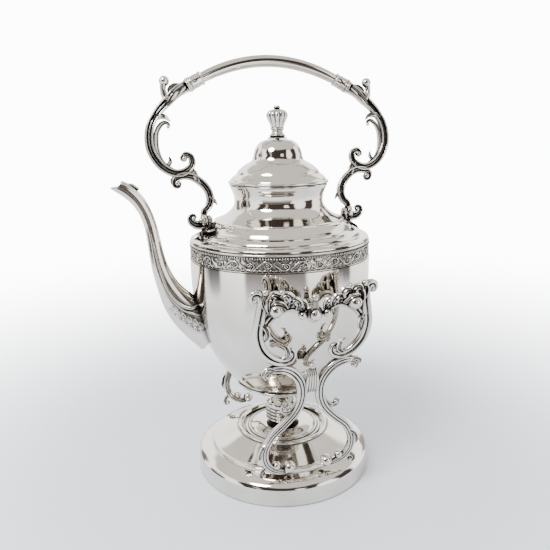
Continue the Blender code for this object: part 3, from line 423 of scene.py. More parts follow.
bezel_line = [(bezel_r - 1.1, bezel_low + 0.3), (bezel_r - 0.8, bezel_low), (bezel_r - 0.3, bezel_low),
              (bezel_r, bezel_low + 0.3), (bezel_r, bezel_top), (bezel_r - 1.1, bezel_top)]
finish_piece(spin("bezel_ring", bezel_line, 96), spun_silver, "lid", "lid_bezel")

# %% [markdown]
# The finial is cast: a flared foot, a neck with little rosettes, and a knob fluted like a crown
# with a bud on top. It is spun plain first, and then the knob's radius is rippled round the axis.

# %% finial
FLUTES = 12
FLUTE_DEEP = 0.17
KNOB_FROM, KNOB_TO, KNOB_CORE = 10.0, 24.0, 3.0


def finial_piece():
    low = KNOB_LOW
    line = [(1.9, low), (8.0, low)] + roll(7.9, low + 0.5, 0.5, -60, 90, 4)
    line += flow([(7.2, low + 1.4), (6.4, low + 2.0)], 3) + roll(6.2, low + 2.9, 0.7, -60, 70, 5)
    line += flow([(5.8, low + 3.8), (4.9, low + 5.4), (4.8, low + 6.6), (5.3, low + 7.6)], 4)
    line += roll(5.3, low + 8.5, 0.7, -60, 80, 5)
    line += flow([(5.5, low + 9.6), (6.4, low + 12.2), (7.9, low + 15.3), (9.0, low + 18.0),
                  (9.1, low + 20.0), (8.1, low + 22.0), (6.0, low + 23.5), (3.6, low + 24.2)], 6)
    line += roll(1.3, low + 25.6, 1.6, -55, 85, 7) + [(0.0, KNOB_TOP), (0.0, low + 7.5), (1.9, low + 7.4)]
    obj = spin("crown_finial", line, 144)
    for vert in obj.data.vertices:
        height = vert.co.z / MM - low
        radius = math.hypot(vert.co.x, vert.co.y) / MM
        if KNOB_FROM < height < KNOB_TO and radius > KNOB_CORE:
            angle = math.atan2(vert.co.y, vert.co.x)
            strength = math.sin(math.pi * (height - KNOB_FROM) / (KNOB_TO - KNOB_FROM)) ** 0.6
            groove = abs(math.sin(angle * FLUTES / 2.0)) ** 0.55
            share = 1.0 - FLUTE_DEEP * strength * (1.0 - groove)
            vert.co.x *= share
            vert.co.y *= share
    return obj


finish_piece(finial_piece(), cast_silver, "lid", "finial")
nut_r, nut_low, nut_top = size_of("finial_nut")
nut_line = [(0.0, nut_low), (nut_r - 1.0, nut_low), (nut_r, nut_low + 0.8), (nut_r, nut_low + 2.5),
            (1.8, nut_low + 2.5), (1.8, nut_top - 0.4), (1.5, nut_top), (0.0, nut_top)]
finish_piece(spin("finial_stud", nut_line, 40), spun_silver, "lid", "finial_nut")

# %% [markdown]
# The frames and the handle's brackets are castings: flat scrolls with round reeds along them,
# leaves with a raised rib, and round drops at the ends. Each scroll is a curve with a closed
# section that slides along it, wide in the middle and thin at its ends, which is how a carver
# draws one. Points are in millimetres in the casting's own plane, and a matrix puts the finished
# casting in its place.


# %% sections that slide along a scroll
def reeds(count, base):
    """Round reeds side by side, alike on front and back: half-width 1, base is the web's half-thickness."""
    radius = 1.0 / count
    front = []
    for i in range(count):
        middle = -1.0 + radius * (2 * i + 1)
        for k in range(8):
            angle = math.radians(168.0 - 156.0 * k / 7.0)
            front.append((middle + radius * math.cos(angle), base + radius * math.sin(angle)))
    return front + [(x, -y) for x, y in front[::-1]]


def moulded(base, rib, hollow):
    """A flat band with a round rib along each edge and a shallow hollow between them."""
    left = []
    for k in range(8):
        angle = math.radians(180.0 - 160.0 * k / 7.0)
        left.append((-1.0 + rib + rib * math.cos(angle), base + rib * math.sin(angle)))
    floor = [(-0.30, base - hollow), (0.0, base - hollow * 0.6), (0.30, base - hollow)]
    front = left + floor + [(-x, y) for x, y in left[::-1]]
    return front + [(x, -y) for x, y in front[::-1]]


LEAF_SECTION = [(-1.0, 0.0), (-0.80, 0.34), (-0.52, 0.40), (-0.26, 0.20), (-0.14, 0.34), (0.0, 0.52),
                (0.14, 0.34), (0.26, 0.20), (0.52, 0.40), (0.80, 0.34), (1.0, 0.0), (0.70, -0.34),
                (0.0, -0.44), (-0.70, -0.34)]
ROUND_SECTION = [(math.cos(math.pi * k / 7.0), math.sin(math.pi * k / 7.0)) for k in range(14)]
shapes = {"two": reeds(2, 0.16), "three": reeds(3, 0.34), "band": moulded(0.40, 0.26, 0.30),
          "leaf": LEAF_SECTION, "round": ROUND_SECTION}


def closed_section(word, outline):
    """A closed flat curve, hidden in the finished scene, that a scroll is drawn with."""
    curve = bpy.data.curves.new("section_" + word, "CURVE")
    curve.dimensions = "2D"
    line = curve.splines.new("POLY")
    line.points.add(len(outline) - 1)
    for point, (across, thick) in zip(line.points, outline):
        point.co = (across, thick, 0.0, 1.0)
    line.use_cyclic_u = True
    guide = bpy.data.objects.new("section_" + word, curve)
    bpy.context.collection.objects.link(guide)
    guide.hide_render = True
    return guide


sections = {word: closed_section(word, outline) for word, outline in shapes.items()}
print("sections:", sorted(sections))


# %% casting helpers
CAST_MERGE = 0.0004  # castings are drawn in millimetres until they are put in place


def share_of(values, share):
    """Read a list of values, evenly spread from 0 to 1, at a share of its length."""
    spot = share * (len(values) - 1)
    low = min(int(spot), len(values) - 2)
    return values[low] + (values[low + 1] - values[low]) * (spot - low)


def tidy_mesh(obj):
    """Merge doubled corners and turn every face outwards."""
    only(obj)
    bpy.ops.object.mode_set(mode="EDIT")
    bpy.ops.mesh.select_all(action="SELECT")
    bpy.ops.mesh.remove_doubles(threshold=CAST_MERGE)
    bpy.ops.mesh.normals_make_consistent(inside=False)
    bpy.ops.object.mode_set(mode="OBJECT")
    return obj


def joined(objects):
    for other in list(bpy.context.selected_objects):
        other.select_set(False)
    for obj in objects:
        obj.select_set(True)
    bpy.context.view_layer.objects.active = objects[0]
    if len(objects) > 1:
        bpy.ops.object.join()
    return objects[0]


def drop(across, height, out, radius, squash=1.0):
    """A round drop, such as a berry or the eye of a volute."""
    nothing_selected()
    bpy.ops.mesh.primitive_uv_sphere_add(segments=28, ring_count=14, radius=radius,
                                         location=(across, height, out))
    bpy.ops.object.transform_apply(location=True, rotation=True, scale=True)
    obj = bpy.context.object
    for vert in obj.data.vertices:
        vert.co.z = out + (vert.co.z - out) * squash
    return obj


def cast(name, scrolls, drops=(), cuts=5):
    """A casting from scrolls (section, points, half-widths) and drops, in millimetres."""
    parts = []
    for word in sorted({scroll[0] for scroll in scrolls}):
        curve = bpy.data.curves.new(name, "CURVE")
        curve.dimensions = "3D"
        curve.twist_mode = "Z_UP"
        curve.bevel_mode = "OBJECT"
        curve.bevel_object = sections[word]
        curve.use_fill_caps = True
        for kind, points, widths in scrolls:
            if kind != word:
                continue
            path = flow([tuple(p) + (0.0,) * (3 - len(p)) for p in points], cuts)
            line = curve.splines.new("POLY")
            line.points.add(len(path) - 1)
            for i, spot in enumerate(path):
                line.points[i].co = (spot[0], spot[1], spot[2], 1.0)
                line.points[i].radius = share_of(widths, i / (len(path) - 1))
        obj = bpy.data.objects.new(name, curve)
        bpy.context.collection.objects.link(obj)
        only(obj)
        bpy.ops.object.convert(target="MESH")
        parts.append(tidy_mesh(bpy.context.object))
    parts += [drop(*facts) for facts in drops]
    whole = joined(parts)
    whole.name = name
    return whole


def both_sides(obj):
    """Add the other half of a casting that is alike on both sides of its upright middle."""
    only(obj)
    bpy.ops.object.modifier_add(type="MIRROR")
    obj.modifiers[-1].use_mirror_merge = False
    bpy.ops.object.modifier_apply(modifier=obj.modifiers[-1].name)
    return obj


def put(obj, across, up, out, corner):
    """Put a casting drawn in millimetres at its place: three directions and a corner in metres."""
    turn = Matrix((across, up, out)).transposed().to_4x4()
    place = Matrix.Translation(corner) @ turn @ Matrix.Scale(MM, 4)
    obj.data.transform(place)
    if turn.determinant() < 0.0:
        obj.data.flip_normals()
    obj.data.update()
    return obj


def another(obj, name, turn):
    """A copy of a finished casting with its own mesh, turned by a matrix about the axis."""
    only(obj)
    bpy.ops.object.duplicate()
    copy = bpy.context.object
    copy.name = name
    copy.data.transform(turn)
    return copy


HALF_TURN = Matrix.Rotation(math.pi, 4, "Z")
print("casting helpers ready")

# %% [markdown]
# One cast frame is a heart of double-reeded scrolls over two triple-reeded legs that stand back
# to back. Leaves and berries crown the heart, a fluted fan covers the place where the legs meet,
# and each foot curls round a ball. Half of it is drawn and mirrored; the back frame is a copy.
# The plane of the frame leans outwards as it rises, so that it clears the kettle's belly.

# %% cast frames
ARM = [(46.0, 184.6), (48.6, 186.0), (47.8, 190.0), (43.6, 189.4), (41.2, 182.5), (43.2, 170.0),
       (44.6, 158.0), (41.8, 146.4), (35.0, 137.6), (27.0, 133.0), (19.6, 133.0), (15.8, 137.6),
       (18.0, 141.4), (21.0, 139.6)]
ARM_HALF = [1.9, 2.6, 3.2, 3.8, 4.1, 4.2, 4.2, 4.1, 3.8, 3.3, 2.8, 2.3, 1.7]
ARCH = [(9.6, 170.6), (12.4, 174.6), (19.0, 177.4), (28.0, 175.6), (36.5, 168.4), (41.6, 158.0),
        (42.6, 150.0)]
LEG = [(37.0, 119.0), (38.0, 123.0), (34.0, 126.4), (25.0, 126.6), (15.5, 121.6), (8.8, 111.4), (7.8, 98.8),
       (12.0, 87.0), (21.5, 75.8), (32.2, 65.6), (38.2, 52.4), (36.8, 40.6), (29.5, 32.6), (21.8, 29.6),
       (15.6, 31.8)]
LEG_HALF = [1.6, 2.4, 3.0, 3.6, 3.9, 4.0, 3.9, 3.6, 3.3, 3.3, 3.3, 3.2, 2.9, 2.4, 1.8]
half_frame = [
    ("two", ARM, ARM_HALF),
    ("two", ARCH, [1.8, 2.8, 3.2, 3.3, 3.1, 2.4, 1.2]),
    ("three", LEG, LEG_HALF),
    ("two", [(8.5, 106.0), (11.6, 94.6), (17.0, 87.6), (22.6, 87.2), (24.0, 91.0), (20.8, 92.0)],
     [1.4, 1.9, 2.0, 1.9, 1.5, 1.0]),
    ("two", [(30.5, 135.0), (26.0, 130.5), (22.0, 127.0)], [2.6, 2.4, 2.6]),
    ("leaf", [(14.0, 176.0, 1.6), (13.6, 181.0, 4.0), (17.6, 185.0, 4.6), (21.4, 182.6, 3.6)],
     [2.2, 3.4, 3.0, 1.2]),
    ("leaf", [(20.0, 178.0, 1.0), (19.4, 184.6, 3.4), (24.0, 189.4, 4.4), (29.0, 187.0, 3.6)],
     [2.4, 3.8, 3.2, 1.4]),
    ("leaf", [(27.0, 180.0, 0.6), (29.0, 187.4, 2.8), (34.0, 190.4, 3.6), (37.6, 186.6, 3.0)],
     [2.4, 3.6, 3.0, 1.4]),
    ("leaf", [(35.0, 174.0, 1.4), (37.0, 180.6, 3.4), (36.4, 186.0, 3.4), (33.0, 188.0, 2.4)],
     [2.2, 3.4, 2.8, 1.0]),
    ("leaf", [(37.0, 176.0, 0.6), (40.4, 182.0, 1.8), (41.4, 187.6, 2.0), (39.4, 192.0, 1.6)],
     [1.8, 2.8, 2.4, 1.2]),
    ("leaf", [(8.0, 174.0, 1.0), (8.6, 179.6, 2.8), (12.4, 182.4, 3.0), (15.6, 180.0, 2.2)],
     [1.8, 2.8, 2.4, 1.0]),
    ("leaf", [(23.0, 177.6, 2.6), (27.6, 182.6, 5.0), (33.0, 183.6, 4.8), (36.4, 180.0, 3.0)],
     [1.8, 2.8, 2.4, 0.8]),
    ("leaf", [(43.8, 168.0, 1.4), (38.6, 163.0, 2.6), (37.4, 156.4, 2.4), (39.6, 152.0, 1.2)],
     [1.4, 2.3, 1.9, 0.4]),
    ("leaf", [(26.0, 134.0, 1.0), (21.0, 139.0, 2.6), (22.6, 145.4, 2.8), (26.6, 147.4, 1.6)],
     [1.5, 2.4, 1.9, 0.4]),
    ("leaf", [(30.0, 126.0, 1.4), (36.0, 128.6, 2.2), (40.4, 126.4, 1.8), (41.0, 122.6, 1.0)],
     [1.4, 2.0, 1.6, 0.4]),
    ("leaf", [(34.0, 61.0, 1.4), (40.2, 57.0, 2.0), (43.0, 50.0, 1.8), (42.4, 45.4, 1.0)],
     [1.2, 1.8, 1.5, 0.4]),
    ("leaf", [(35.6, 38.6, 0.8), (41.0, 33.2, 1.0), (41.4, 28.8, 0.8), (37.8, 27.6, 0.4)],
     [1.6, 2.0, 1.6, 0.7]),
]
half_drops = [
    (47.0, 186.2, 0.0, 2.5), (18.6, 138.6, 0.0, 2.6), (36.0, 121.6, 0.0, 2.4), (22.0, 89.4, 0.0, 2.2),
    (31.6, 177.6, 3.6, 5.6), (10.0, 170.6, 1.4, 3.5), (22.0, 186.0, 3.4, 2.6), (27.4, 191.0, 3.0, 2.4),
    (39.4, 191.8, 1.8, 2.6), (16.6, 183.6, 3.6, 2.2), (16.4, 32.6, 0.0, 5.2), (27.6, 36.4, 0.0, 3.6),
    (38.6, 29.4, 0.0, 2.2),
]
front_half = both_sides(cast("front_frame_cast", half_frame, half_drops))
middle_scrolls = []
for k in (-2, -1, 0, 1, 2):
    middle_scrolls.append(("round", [(k * 1.5, 123.5, 0.4), (k * 1.9, 117.0, 2.4), (k * 2.2, 109.0, 2.2),
                                     (k * 1.6, 102.5, 0.6)], [0.9, 1.3, 1.4, 0.7]))
    middle_scrolls.append(("round", [(k * 0.8, 163.0, 0.6), (k * 1.25, 168.0, 1.2), (k * 1.2, 174.0, 1.4),
                                     (k * 0.9, 181.0, 0.8)], [0.7, 1.0, 1.0, 0.6]))
middle = cast("frame_middle", middle_scrolls, [(0.0, 183.6, 0.6, 3.0), (0.0, 170.0, 0.0, 7.0, 0.42),
                                               (0.0, 126.0, 0.8, 2.6)])
front_frame = joined([front_half, middle])
FRAME_FOOT_Y = 66.0
FRAME_LEAN = 0.125
put(front_frame, (1.0, 0.0, 0.0), (0.0, -FRAME_LEAN, 1.0), (0.0, -1.0, -FRAME_LEAN),
    (0.0, -FRAME_FOOT_Y * MM, 0.0))
back_frame = another(front_frame, "back_frame_cast", HALF_TURN)
finish_piece(front_frame, cast_silver, "stand", "front_frame")
finish_piece(back_frame, cast_silver, "stand", "back_frame")

# %% [markdown]
# The handle swings on two pins. Each bracket is a C-scroll with a ribbed edge, a second leaf
# ribbon inside it, a smaller C below, and curled leaves where they meet. It is drawn in the
# handle's own plane, which leans back nine degrees at rest, and the other bracket is a copy
# turned half round the handle's upright.

# %% handle brackets
HINGE_Z = 233.5
HANDLE_LEAN = 0.157
EYE_X, EYE_R, EYE_THICK = 66.0, 5.8, 4.2
GRIP_HALF = 63.5
GRIP_TOP = 365.5
GRIP_SAG = 17.0
BEYOND_GRIP = 9.6


def grip_height(across):
    return GRIP_TOP - GRIP_SAG * (across / GRIP_HALF) ** 2


slope = math.atan(2.0 * GRIP_SAG / GRIP_HALF)
end_x = GRIP_HALF + BEYOND_GRIP * math.cos(slope)
end_z = grip_height(GRIP_HALF) - BEYOND_GRIP * math.sin(slope)
UPPER = [(end_x, end_z), (80.6, 339.0), (87.6, 332.8), (94.8, 326.1), (99.9, 319.5), (103.4, 313.5),
         (105.4, 306.8), (106.0, 300.0), (105.2, 293.0), (102.4, 286.2), (97.8, 280.0), (91.4, 275.4),
         (84.2, 273.4), (77.2, 275.4), (72.6, 280.4), (72.8, 286.4), (77.4, 288.8), (80.4, 285.6),
         (78.0, 283.4)]
UPPER_HALF = [4.6, 4.4, 3.9, 3.5, 3.5, 3.5, 3.5, 3.5, 3.4, 3.3, 3.0, 2.6, 2.0, 1.4]
LOWER = [(83.4, 266.4), (84.4, 262.8), (88.0, 263.4), (87.6, 267.8), (82.4, 270.8), (75.0, 270.6),
         (67.8, 266.8), (61.6, 259.8), (59.4, 252.0), (61.0, 245.6), (64.8, 241.6), (66.0, 237.0)]
LOWER_HALF = [1.2, 1.6, 2.0, 2.6, 3.0, 3.3, 3.4, 3.4, 3.2, 3.0, 2.6]
bracket_scrolls = [
    ("band", UPPER, UPPER_HALF),
    ("band", LOWER, LOWER_HALF),
    ("leaf", [(88.0, 277.4), (94.0, 280.4), (98.4, 286.4), (100.2, 293.4), (100.4, 300.0), (99.4, 306.4),
              (96.6, 311.8), (92.4, 314.8), (88.8, 313.2), (89.6, 310.2)],
     [0.6, 1.7, 2.3, 2.5, 2.5, 2.3, 2.1, 1.8, 1.3, 0.8]),
    ("leaf", [(101.0, 316.4, 0.6), (97.0, 319.6, 1.4), (91.6, 319.4, 1.4), (87.4, 315.6, 0.4)],
     [1.6, 2.3, 1.9, 0.5]),
    ("leaf", [(101.0, 316.4, -0.6), (97.0, 319.6, -1.4), (91.6, 319.4, -1.4), (87.4, 315.6, -0.4)],
     [1.6, 2.3, 1.9, 0.5]),
    ("leaf", [(97.0, 278.6), (92.6, 279.8), (90.0, 283.4), (90.6, 287.4)], [1.0, 2.0, 1.7, 0.6]),
    ("leaf", [(76.0, 280.0), (71.6, 273.4), (69.4, 267.0), (66.0, 262.0)], [1.2, 3.0, 2.8, 1.0]),
    ("leaf", [(79.0, 269.0), (85.6, 270.4), (89.8, 268.2), (90.6, 264.4)], [1.0, 2.0, 1.6, 0.5]),
    ("leaf", [(59.8, 253.6), (55.8, 249.4), (53.6, 245.6)], [1.6, 1.8, 0.4]),
    ("band", [(65.4, 231.4), (69.4, 230.0), (73.4, 230.4), (77.0, 233.2), (77.2, 236.8), (74.2, 238.0),
              (73.0, 235.8)],
     [4.2, 4.2, 3.6, 2.8, 2.3, 1.8, 1.2]),
    ("round", [(86.0, 332.0), (90.0, 336.0), (91.4, 341.0), (90.8, 346.4)], [2.6, 3.0, 2.4, 2.8]),
    ("leaf", [(84.0, 336.0), (85.6, 341.0), (82.0, 344.6), (77.6, 345.6)], [2.4, 2.6, 2.0, 0.8]),
]
for side in (-1.0, 1.0):
    bracket_scrolls.append(("leaf", [(74.4, 343.4, 3.2 * side), (80.6, 338.0, 3.6 * side),
                                     (86.6, 331.4, 2.8 * side),
                                     (90.6, 325.4, 1.4 * side)], [2.4, 3.0, 2.4, 0.6]))
bracket_drops = [(78.4, 285.2, 0.0, 2.5), (85.6, 265.4, 0.0, 2.6), (90.0, 348.0, 0.0, 4.2),
                 (74.6, 235.6, 0.0, 2.3), (89.6, 311.4, 0.0, 1.6)]
left_bracket = cast("left_bracket_cast", bracket_scrolls, bracket_drops)
nothing_selected()
bpy.ops.mesh.primitive_cylinder_add(vertices=40, radius=EYE_R, depth=EYE_THICK,
                                    location=(EYE_X, HINGE_Z, 0.0),
                                    rotation=(0.0, math.pi / 2.0, 0.0))
bpy.ops.object.transform_apply(location=True, rotation=True, scale=True)
eye = bpy.context.object
bpy.ops.object.modifier_add(type="BEVEL")
eye.modifiers[-1].width = 0.6
eye.modifiers[-1].segments = 3
bpy.ops.object.modifier_apply(modifier=eye.modifiers[-1].name)
left_bracket = joined([left_bracket, eye])
lean_up = Vector((0.0, math.sin(HANDLE_LEAN), math.cos(HANDLE_LEAN)))
lean_out = Vector((0.0, math.cos(HANDLE_LEAN), -math.sin(HANDLE_LEAN)))
hinge_spot = Vector((0.0, 0.0, HINGE_Z * MM))
to_left = (Vector((-1.0, 0.0, 0.0)), lean_up, lean_out)
to_right = (Vector((1.0, 0.0, 0.0)), lean_up, -lean_out)
corner = hinge_spot - lean_up * HINGE_Z * MM
right_bracket = another(left_bracket, "right_bracket_cast", Matrix.Identity(4))
put(left_bracket, *to_left, corner)
put(right_bracket, *to_right, corner)
finish_piece(left_bracket, cast_silver, "handle", "left_bracket")
finish_piece(right_bracket, cast_silver, "handle", "right_bracket")

# %% [markdown]
# The grip is an arched bar, round on top, with fine grooves along its sides. It is one curve
# with its own section. The ferrules are small turned sleeves with a ring at each end, spun about
# the axis and then turned to lie along the grip's ends.

# %% grip and ferrules
GROOVES = (5.0, 175.0, -38.0, 218.0, -62.0, 242.0)
GROOVE_DEEP = 0.075
grip_section = []
for k in range(72):
    angle = 2.0 * math.pi * k / 72
    groove = sum(math.exp(-((math.degrees(angle) - line + 180.0) % 360.0 - 180.0) ** 2 / 32.0)
                 for line in GROOVES)
    reach = 1.0 - GROOVE_DEEP * groove
    grip_section.append((reach * math.cos(angle), reach * math.sin(angle)))
print("grip section:", len(grip_section), "points")
sections["grip"] = closed_section("grip", grip_section)
grip_path = []
grip_half = []
for k in range(61):
    across = GRIP_HALF * (k / 30.0 - 1.0)
    grip_path.append((across, grip_height(across)))
    grip_half.append(4.25 + 0.75 * max(0.0, 1.0 - (across / (GRIP_HALF - 6.0)) ** 2) ** 0.5)
grip = cast("reeded_grip", [("grip", grip_path, grip_half)], cuts=1)
put(grip, *to_right, corner)
finish_piece(grip, spun_silver, "handle", "grip", angle=50.0)


def lay_along(obj, start, ahead):
    """Turn a spun piece so that its axis runs from a start along a direction."""
    turn = Vector((0.0, 0.0, 1.0)).rotation_difference(Vector(ahead)).to_matrix().to_4x4()
    obj.data.transform(Matrix.Translation(start) @ turn)
    return obj


SLEEVE_BACK = 5.0
ferrule_line = [(4.5, 0.0), (5.0, 0.0)] + roll(5.3, 0.9, 0.8, -80, 80, 6) + [(5.25, 2.0)]
ferrule_line += flow([(5.3, 2.6), (5.6, 6.0), (5.5, 9.6)], 4) + roll(5.4, 10.6, 0.6, -70, 70, 5)
ferrule_line += [(5.3, 11.6)] + roll(5.5, 12.6, 0.75, -75, 75, 6) + [(5.2, 13.8)]
ferrule_line += roll(5.0, 14.4, 0.55, -60, 90, 5) + [(4.5, 15.0)]
for word, side in (("left", -1.0), ("right", 1.0)):
    ahead = (Vector((side * math.cos(slope), 0.0, 0.0)) - lean_up * math.sin(slope))
    end = hinge_spot + Vector((side * GRIP_HALF * MM, 0.0, 0.0))
    end += lean_up * (grip_height(GRIP_HALF) - HINGE_Z) * MM
    sleeve = spin(word + "_ferrule_sleeve", ferrule_line, 64)
    lay_along(sleeve, end - ahead * SLEEVE_BACK * MM, ahead)
    finish_piece(sleeve, spun_silver, "handle", word + "_ferrule")

# %% [markdown]
# Each handle foot is a lug standing on a spray of leaves that lie on the shoulder. The hinge pin
# goes through the lug and the bracket's eye and is riveted over at both ends.

# %% handle feet and hinge pins
LUG_IN, LUG_OUT = 60.0, 63.6
shoulder_steps = [(50.0, 233.8), (55.0, 231.4), (60.0, 227.4), (62.4, 224.9), (66.0, 222.9), (70.5, 219.8),
                  (72.5, 218.2), (76.0, 217.6), (79.0, 215.0)]


def shoulder_height(radius):
    for (r0, z0), (r1, z1) in zip(shoulder_steps, shoulder_steps[1:]):
        if radius <= r1:
            return z0 + (z1 - z0) * (radius - r0) / (r1 - r0)
    return shoulder_steps[-1][1]


def on_shoulder(radius, turn, lift):
    """A point that lies on the shoulder: distance from the axis, angle from +X, height above it."""
    angle = math.radians(turn)
    return (radius * math.cos(angle), radius * math.sin(angle), shoulder_height(radius) + lift)


foot_leaves = [
    ("leaf", [on_shoulder(60.0, 0.0, 2.2), on_shoulder(66.0, 0.0, 1.8), on_shoulder(71.0, 0.0, 1.2),
              on_shoulder(75.0, 0.0, 0.4)], [3.4, 4.2, 3.6, 1.8]),
    ("leaf", [on_shoulder(64.0, 0.0, 1.8), on_shoulder(59.0, 0.0, 1.0), on_shoulder(55.4, 0.0, 0.4)],
     [3.4, 3.6, 1.8]),
]
for side in (-1.0, 1.0):
    foot_leaves.append(("leaf", [on_shoulder(66.0, 0.0, 1.6), on_shoulder(64.0, 5.0 * side, 1.0),
                                 on_shoulder(62.4, 9.5 * side, 0.7), on_shoulder(61.0, 13.0 * side, 0.3)],
                        [3.0, 3.8, 3.2, 1.6]))
    foot_leaves.append(("leaf", [on_shoulder(68.0, 1.0 * side, 1.2), on_shoulder(69.6, 5.5 * side, 0.8),
                                 on_shoulder(71.0, 9.0 * side, 0.3)], [3.0, 3.2, 1.4]))
spray = cast("handle_foot_leaves", foot_leaves)
stem_scrolls = [("three", [(0.0, 219.5), (0.0, 224.0), (0.0, 229.0), (0.0, 233.5)], [5.4, 4.8, 4.2, 4.0])]
stem = cast("handle_foot_stem", stem_scrolls)
stem.data.transform(Matrix.Translation((61.9, 0.0, 0.0)) @ Matrix.Rotation(math.pi / 2.0, 4, "Z")
                    @ Matrix.Rotation(math.pi / 2.0, 4, "X") @ Matrix.Scale(0.62, 4, (0.0, 0.0, 1.0)))
left_foot = joined([spray, stem])
left_foot.data.transform(Matrix.Scale(MM, 4))
lug_line = [(0.0, LUG_IN), (3.8, LUG_IN), (4.4, LUG_IN + 0.6), (4.4, LUG_OUT - 0.6), (3.8, LUG_OUT),
            (0.0, LUG_OUT)]
lug = spin("lug", lug_line, 40, closed=False)
lay_along(lug, Vector((0.0, 0.0, HINGE_Z * MM)), (1.0, 0.0, 0.0))
right_foot = joined([left_foot, lug])
right_foot.name = "right_handle_foot"
left_foot = another(right_foot, "left_handle_foot", HALF_TURN)
finish_piece(right_foot, cast_silver, "kettle", "right_handle_mount")
finish_piece(left_foot, cast_silver, "kettle", "left_handle_mount")

PIN_LONG = 8.7
pin_line = [(0.0, -1.4)] + flow([(1.6, -1.3), (2.6, -0.8), (2.8, -0.3)], 3) + [(1.6, -0.3), (1.6, PIN_LONG)]
pin_line += flow([(2.8, PIN_LONG), (2.4, PIN_LONG + 0.8), (1.2, PIN_LONG + 1.3)], 3) + [(0.0, PIN_LONG + 1.4)]
for word, side in (("left", -1.0), ("right", 1.0)):
    pin = spin(word + "_rivet", pin_line, 32, closed=False)
    lay_along(pin, hinge_spot + Vector((side * LUG_IN * MM, 0.0, 0.0)), (side, 0.0, 0.0))
    finish_piece(pin, spun_silver, "kettle", word + "_hinge_pin")

# %% [markdown]
# The kettle hangs on two stepped pins that go through the eyes of the frames. Outside, each has
# a button with a fluted edge.

# %% pivot pins
PIVOT_Z = 170.0
plane_y = FRAME_FOOT_Y + FRAME_LEAN * PIVOT_Z
inside_y = bowl_radius(PIVOT_Z) - 0.8
button_y = plane_y + 3.7
pivot_line = [(0.0, inside_y), (6.4, inside_y), (6.4, inside_y + 0.8)]
pivot_line += roll(5.4, inside_y + 1.9, 0.7, -70, 80, 6) + [(4.8, inside_y + 2.8), (3.6, plane_y - 3.7)]
pivot_line += [(2.7, plane_y - 3.7), (2.7, button_y), (4.2, button_y), (4.3, button_y + 0.6)]
pivot_line += flow([(4.0, button_y + 1.2), (2.8, button_y + 2.2), (1.4, button_y + 2.6)],
                   4) + [(0.0, button_y + 2.7)]
for word, side in (("front", -1.0), ("back", 1.0)):
    pivot = spin(word + "_pivot", pivot_line, 64, closed=False)
    lay_along(pivot, Vector((0.0, 0.0, PIVOT_Z * MM)), (0.0, side, 0.0))
    finish_piece(pivot, spun_silver, "kettle", word + "_trunnion")

# %% [markdown]
# The spout is a hollow casting that rises in a swan-neck from a deep root low on the bowl. Its
# section changes all the way, from a tall shield shape at the root to a small round lip, and
# four ribs run along it, so it is skinned ring by ring from a list of stations.

# %% spout
STATIONS = [  # distance from the axis, height, half-height in its plane, half-width
    (62.0, 140.0, 23.8, 15.0), (74.0, 147.5, 19.5, 14.0), (85.0, 156.5, 15.5, 12.0),
    (94.0, 168.5, 11.8, 10.0),
    (100.5, 182.0, 8.4, 8.0), (105.0, 196.0, 6.6, 6.8), (107.2, 208.0, 5.7, 6.0), (108.6, 220.0, 5.2, 5.4),
    (110.5, 232.0, 4.9, 5.0), (113.8, 243.0, 4.9, 4.9), (119.2, 253.0, 5.2, 5.1), (126.2, 260.5, 5.5, 5.4),
    (133.0, 265.0, 4.8, 5.6)]
SPOUT_SIDES = 72
SPOUT_WALL = 1.2
SPOUT_RIBS = [(0.0, 0.03), (64.0, 0.11), (296.0, 0.11), (128.0, 0.07), (232.0, 0.07), (180.0, 0.08)]
RIB_WIDE = 10.0  # degrees


def spout_ring(angle, share):
    """How far the spout's skin stands out at an angle (0 is the outer side, 180 the inner side)."""
    turn = math.degrees(angle) % 360.0
    free = min(1.0, max(0.0, (share - 0.16) / 0.25))
    rise = 0.0
    for line, high in SPOUT_RIBS:
        away = (turn - line + 180.0) % 360.0 - 180.0
        rise += high * math.exp(-(away / RIB_WIDE) ** 2)
    return 1.0 + rise * free


def beak(angle, share):
    """How far the lip is drawn forward along the spout, in millimetres, most at its lower edge."""
    near_lip = max(0.0, (share - 0.93) / 0.07)
    return 4.6 * near_lip * (0.5 + 0.5 * math.cos(angle)) ** 2 - 1.2 * near_lip * math.sin(angle) ** 2


def spout_piece():
    path = flow([(s, z) for s, z, a, b in STATIONS], 6)
    sizes = flow([(a, b) for s, z, a, b in STATIONS], 6)
    last = len(path) - 1
    bm = bmesh.new()
    skins = []
    for wall in (0.0, SPOUT_WALL):
        rings = []
        for i, (s, z) in enumerate(path):
            ahead = (Vector(path[min(i + 1, last)]) - Vector(path[max(i - 1, 0)])).normalized()
            out = Vector((ahead.y, -ahead.x))
            ring = []
            for k in range(SPOUT_SIDES):
                angle = 2.0 * math.pi * k / SPOUT_SIDES
                rise = spout_ring(angle, i / last) if wall == 0.0 else 1.0
                reach = (sizes[i][0] - wall) * rise * math.cos(angle)
                wide = (sizes[i][1] - wall) * rise * math.sin(angle)
                spot = Vector((s, z)) + out * reach + ahead * beak(angle, i / last)
                ring.append(bm.verts.new((-spot.x * MM, wide * MM, spot.y * MM)))
            rings.append(ring)
        skins.append(rings)
    loop = skins[0] + skins[1][::-1]
    for low, high in zip(loop, loop[1:] + loop[:1]):
        for k in range(SPOUT_SIDES):
            bm.faces.new((low[k], low[(k + 1) % SPOUT_SIDES], high[(k + 1) % SPOUT_SIDES], high[k]))
    bmesh.ops.recalc_face_normals(bm, faces=bm.faces)
    mesh = bpy.data.meshes.new("swan_neck_spout")
    bm.to_mesh(mesh)
    bm.free()
    obj = bpy.data.objects.new("swan_neck_spout", mesh)
    bpy.context.collection.objects.link(obj)
    return obj


spout_parts = [spout_piece()]


